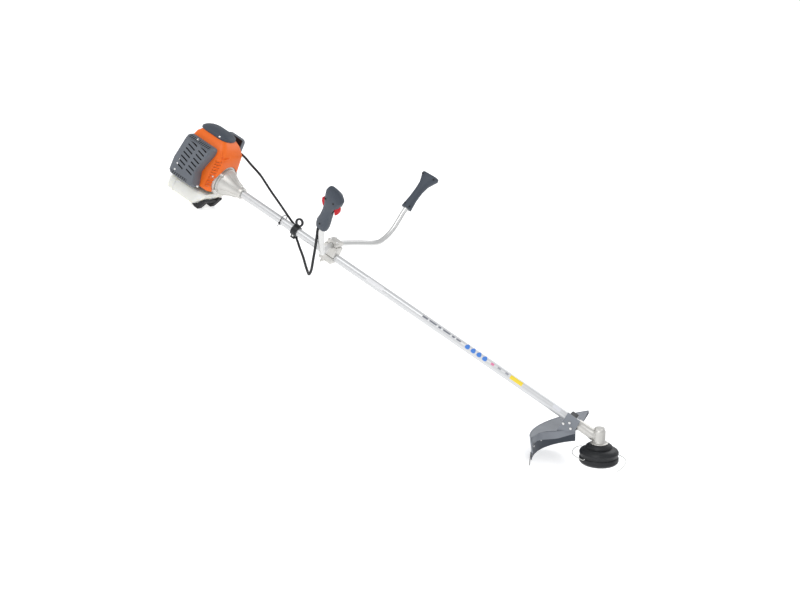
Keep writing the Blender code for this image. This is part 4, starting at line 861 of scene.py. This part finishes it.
# %% Raised frame, corner rib and screws
FRAME_LINE = [(-0.2385, -0.1003, 0.088), (-0.2290, -0.1003, 0.0985), (-0.205, -0.1003, 0.1020),
              (-0.150, -0.1003, 0.1020), (-0.1335, -0.1003, 0.0985), (-0.1325, -0.1003, 0.0860),
              (-0.1440, -0.1003, 0.050), (-0.1560, -0.1003, 0.0139), (-0.1505, -0.1003, -0.012),
              (-0.1460, -0.1003, -0.034)]
line = to_world(shaft, smooth_path(FRAME_LINE, 0.004))
closed_piece("guard_face_frame", grid_mesh("guard_face_frame", swept(line, 0.0020, 10)), "grey",
             "machine")
CORNER_LINE = [(-0.1070, -0.0630, 0.1180), (-0.1000, -0.0640, 0.1010), (-0.0960, -0.0640, 0.0890),
               (-0.0900, -0.0600, 0.0880), (-0.0860, -0.0480, 0.0910), (-0.0858, -0.0300, 0.0960)]
line = to_world(shaft, smooth_path(CORNER_LINE, 0.003))
closed_piece("cover_corner_rib", grid_mesh("cover_corner_rib", swept(line, 0.0022, 10)), "orange",
             "machine")
screw("guard_screw_top", (-0.196, -0.0905, 0.1135), (0, -0.5, 0.87), 0.0040)
screw("dome_screw", (-0.150, -0.0405, 0.1475), (0.1, -0.9, 0.45), 0.0036)
print("frame and ribs placed")

# %% [markdown]
# ## Castings between engine and tube
# Four ears carry the long screws that pull the clutch housing against the fan housing, and
# thin ribs run down the cone between them. The starter's back is stiffened by a wheel of
# radial ribs round its centre cap.

# %% Cone ears, ribs and starter spokes
EARS, EAR_RING = [math.radians(a) for a in (38.0, 142.0, 218.0, 322.0)], 0.0535
EAR = [(0.0, 0.0), (0.0058, 0.0), (0.0062, 0.002), (0.0058, 0.018), (0.0052, 0.0195), (0.0, 0.0195)]
for i, turn in enumerate(EARS):
    out = Vector((0.0, math.cos(turn), math.sin(turn)))
    matrix = shaft @ Matrix.Translation(Vector((-0.0985, 0, 0)) + out * EAR_RING) @ facing((1, 0, 0))
    closed_piece("cone_ear_%d" % i, grid_mesh("cone_ear", to_world(matrix, turned(EAR, 20))), "cast",
                 "machine")
    screw("cone_screw_%d" % i, Vector((-0.0787, 0, 0)) + out * EAR_RING, (1, 0, 0), 0.0036)
CONE_RIBS = 8
CONE_X, CONE_RADIUS = (0.016, 0.040, 0.072), (0.0237, 0.0302, 0.0467)
for i in range(CONE_RIBS):
    turn = math.tau * (i + 0.5) / CONE_RIBS
    back = np.linspace(0.0175, 0.0715, 16)
    radius = np.interp(back, CONE_X, CONE_RADIUS)
    line = np.stack([-back, radius * math.cos(turn), radius * math.sin(turn)], -1)
    closed_piece("cone_rib_%d" % i, grid_mesh("cone_rib", swept(to_world(shaft, line), 0.0014, 8)),
                 "cast", "machine")
STARTER_BACK, SPOKES, STARTER_SCREWS, STARTER_RING = -0.2652, 12, 4, 0.047
for i in range(SPOKES):
    turn = math.tau * i / SPOKES
    line = [(STARTER_BACK, r * math.cos(turn), r * math.sin(turn))
            for r in np.linspace(0.018, 0.046, 6)]
    spoke = swept(to_world(shaft, line), 0.0016, 8)
    closed_piece("starter_spoke_%d" % i, grid_mesh("starter_spoke", spoke), "slate", "machine")
cap = turned([(0.0, 0.0), (0.0165, 0.0), (0.0165, 0.0012), (0.0140, 0.0026), (0.0, 0.0030)], 40)
matrix = shaft @ Matrix.Translation((STARTER_BACK + 0.0008, 0, 0)) @ facing((-1, 0, 0))
closed_piece("starter_cap", grid_mesh("starter_cap", to_world(matrix, cap)), "orange", "machine")
for i in range(STARTER_SCREWS):
    turn = math.tau * (i + 0.5) / STARTER_SCREWS
    screw("starter_screw_%d" % i, (STARTER_BACK + 0.0003, STARTER_RING * math.cos(turn),
                                   STARTER_RING * math.sin(turn)), (-1, 0, 0), 0.0034)
print("castings done")


# %% Tank seam
def hoop(name, centre, half_y, half_z, power, thick, matrix, finish, body, steps=72):
    """Ring on a superellipse |y/a|^n + |z/b|^n = 1 about the x axis, with a round section."""
    t = np.linspace(0.0, 2 * np.pi, steps, endpoint=False)
    y = half_y * np.sign(np.cos(t)) * np.abs(np.cos(t)) ** (2.0 / power)
    z = half_z * np.sign(np.sin(t)) * np.abs(np.sin(t)) ** (2.0 / power)
    out = np.stack([np.zeros(steps), y / half_y ** 2, z / half_z ** 2], -1)
    out /= np.linalg.norm(out, axis=1)[:, None]
    ring = np.stack([np.zeros(steps), y, z], -1) + np.asarray(centre, float)
    a = np.linspace(0.0, 2 * np.pi, 8, endpoint=False)
    points = (ring[:, None] + thick * np.cos(a)[None, :, None] * out[:, None]
              + thick * np.sin(a)[None, :, None] * np.array([1.0, 0.0, 0.0]))
    return closed_piece(name, grid_mesh(name, to_world(matrix, points), wrap_rows=True), finish,
                        body)


hoop("tank_seam", (-0.2360, 0.0, -0.0895), 0.0660, 0.0283, 9.0, 0.0017, shaft, "tank", "machine")

# %% [markdown]
# ## Small fittings on the tube, bar and grips
# A nylon tie straps the cable to the tube, four screws close the handlebar clamp, and black
# recessed screws hold each grip together.

# %% Tie, clamp and grip screws
hoop("cable_tie", (0.184, 0.0035, 0.0040), 0.0190, 0.0195, 2.4, 0.0014, shaft, "black", "machine")
ribs("cable_tie_head", [(0.184, -0.0150, -0.0060)], (0.0030, 0.0024, 0.0032), 0.0010,
     Matrix.Rotation(math.radians(30), 4, "X"), "black")
tail = to_world(shaft, smooth_path([(0.184, -0.016, -0.007), (0.184, -0.0175, -0.014),
                                    (0.1835, -0.0165, -0.020)], 0.002))
closed_piece("cable_tie_tail", grid_mesh("cable_tie_tail", swept(tail, 0.0011, 8)), "black", "machine")
for i, (dx, dy) in enumerate(((-1, -1), (-1, 1), (1, -1), (1, 1))):
    screw("clamp_screw_%d" % i, (0.400 + dx * 0.0130, dy * 0.0162, 0.0556), (0, 0, 1), 0.0042)
screw("hanger_screw", (0.247, -0.0062, -0.0190), (0, -1, 0), 0.0038)
for i, (x, y, z) in enumerate(((-0.020, -0.0186, 0.139), (0.029, -0.0186, 0.138),
                               (-0.012, -0.0142, 0.013), (0.011, -0.0142, 0.009))):
    screw("left_grip_screw_%d" % i, (x, y, z), (0, -1, 0), 0.0034, base=left_grip, finish="black")
for i, (x, y, z) in enumerate(((-0.006, -0.0163, 0.024), (0.020, -0.0192, 0.140),
                               (-0.010, -0.0192, 0.136))):
    screw("right_grip_screw_%d" % i, (x, y, z), (0, -1, 0), 0.0032, base=right_grip, finish="black")
for side, degrees in (("left", -122.0), ("right", 56.0)):
    turn = math.radians(degrees - 3.0)
    out = Vector((math.cos(turn), math.sin(turn), 0.0))
    eye = turned([(0.0016, 0.0), (0.0040, 0.0), (0.0043, 0.0012), (0.0036, 0.0024), (0.0024, 0.0022),
                  (0.0016, 0.0010), (0.0016, 0.0)], 28)
    matrix = head @ Matrix.Translation(out * 0.0575 + Vector((0, 0, -0.0605))) @ facing(out)
    closed_piece("line_eyelet_" + side, grid_mesh("line_eyelet", to_world(matrix, eye)), "chrome",
                 "cutting_head")
print("fittings placed")

# %% [markdown]
# ## Floor
# A broad pale floor meets a world of the same white.

# %% Floor
floor_mesh = grid_mesh("floor", np.stack(np.broadcast_arrays(
    np.linspace(-30, 30, 5)[:, None], np.linspace(-30, 30, 5)[None, :], np.float64(-0.0006)), -1),
    wrap_columns=False)
floor = bpy.data.objects.new("floor", floor_mesh)
scene.collection.objects.link(floor)
paint = Finish("pale_floor", (0.90, 0.90, 0.90), 0.8, Emission_Color=(1.0, 1.0, 1.0, 1.0),
               Emission_Strength=0.46)
floor.data.materials.append(paint.material)
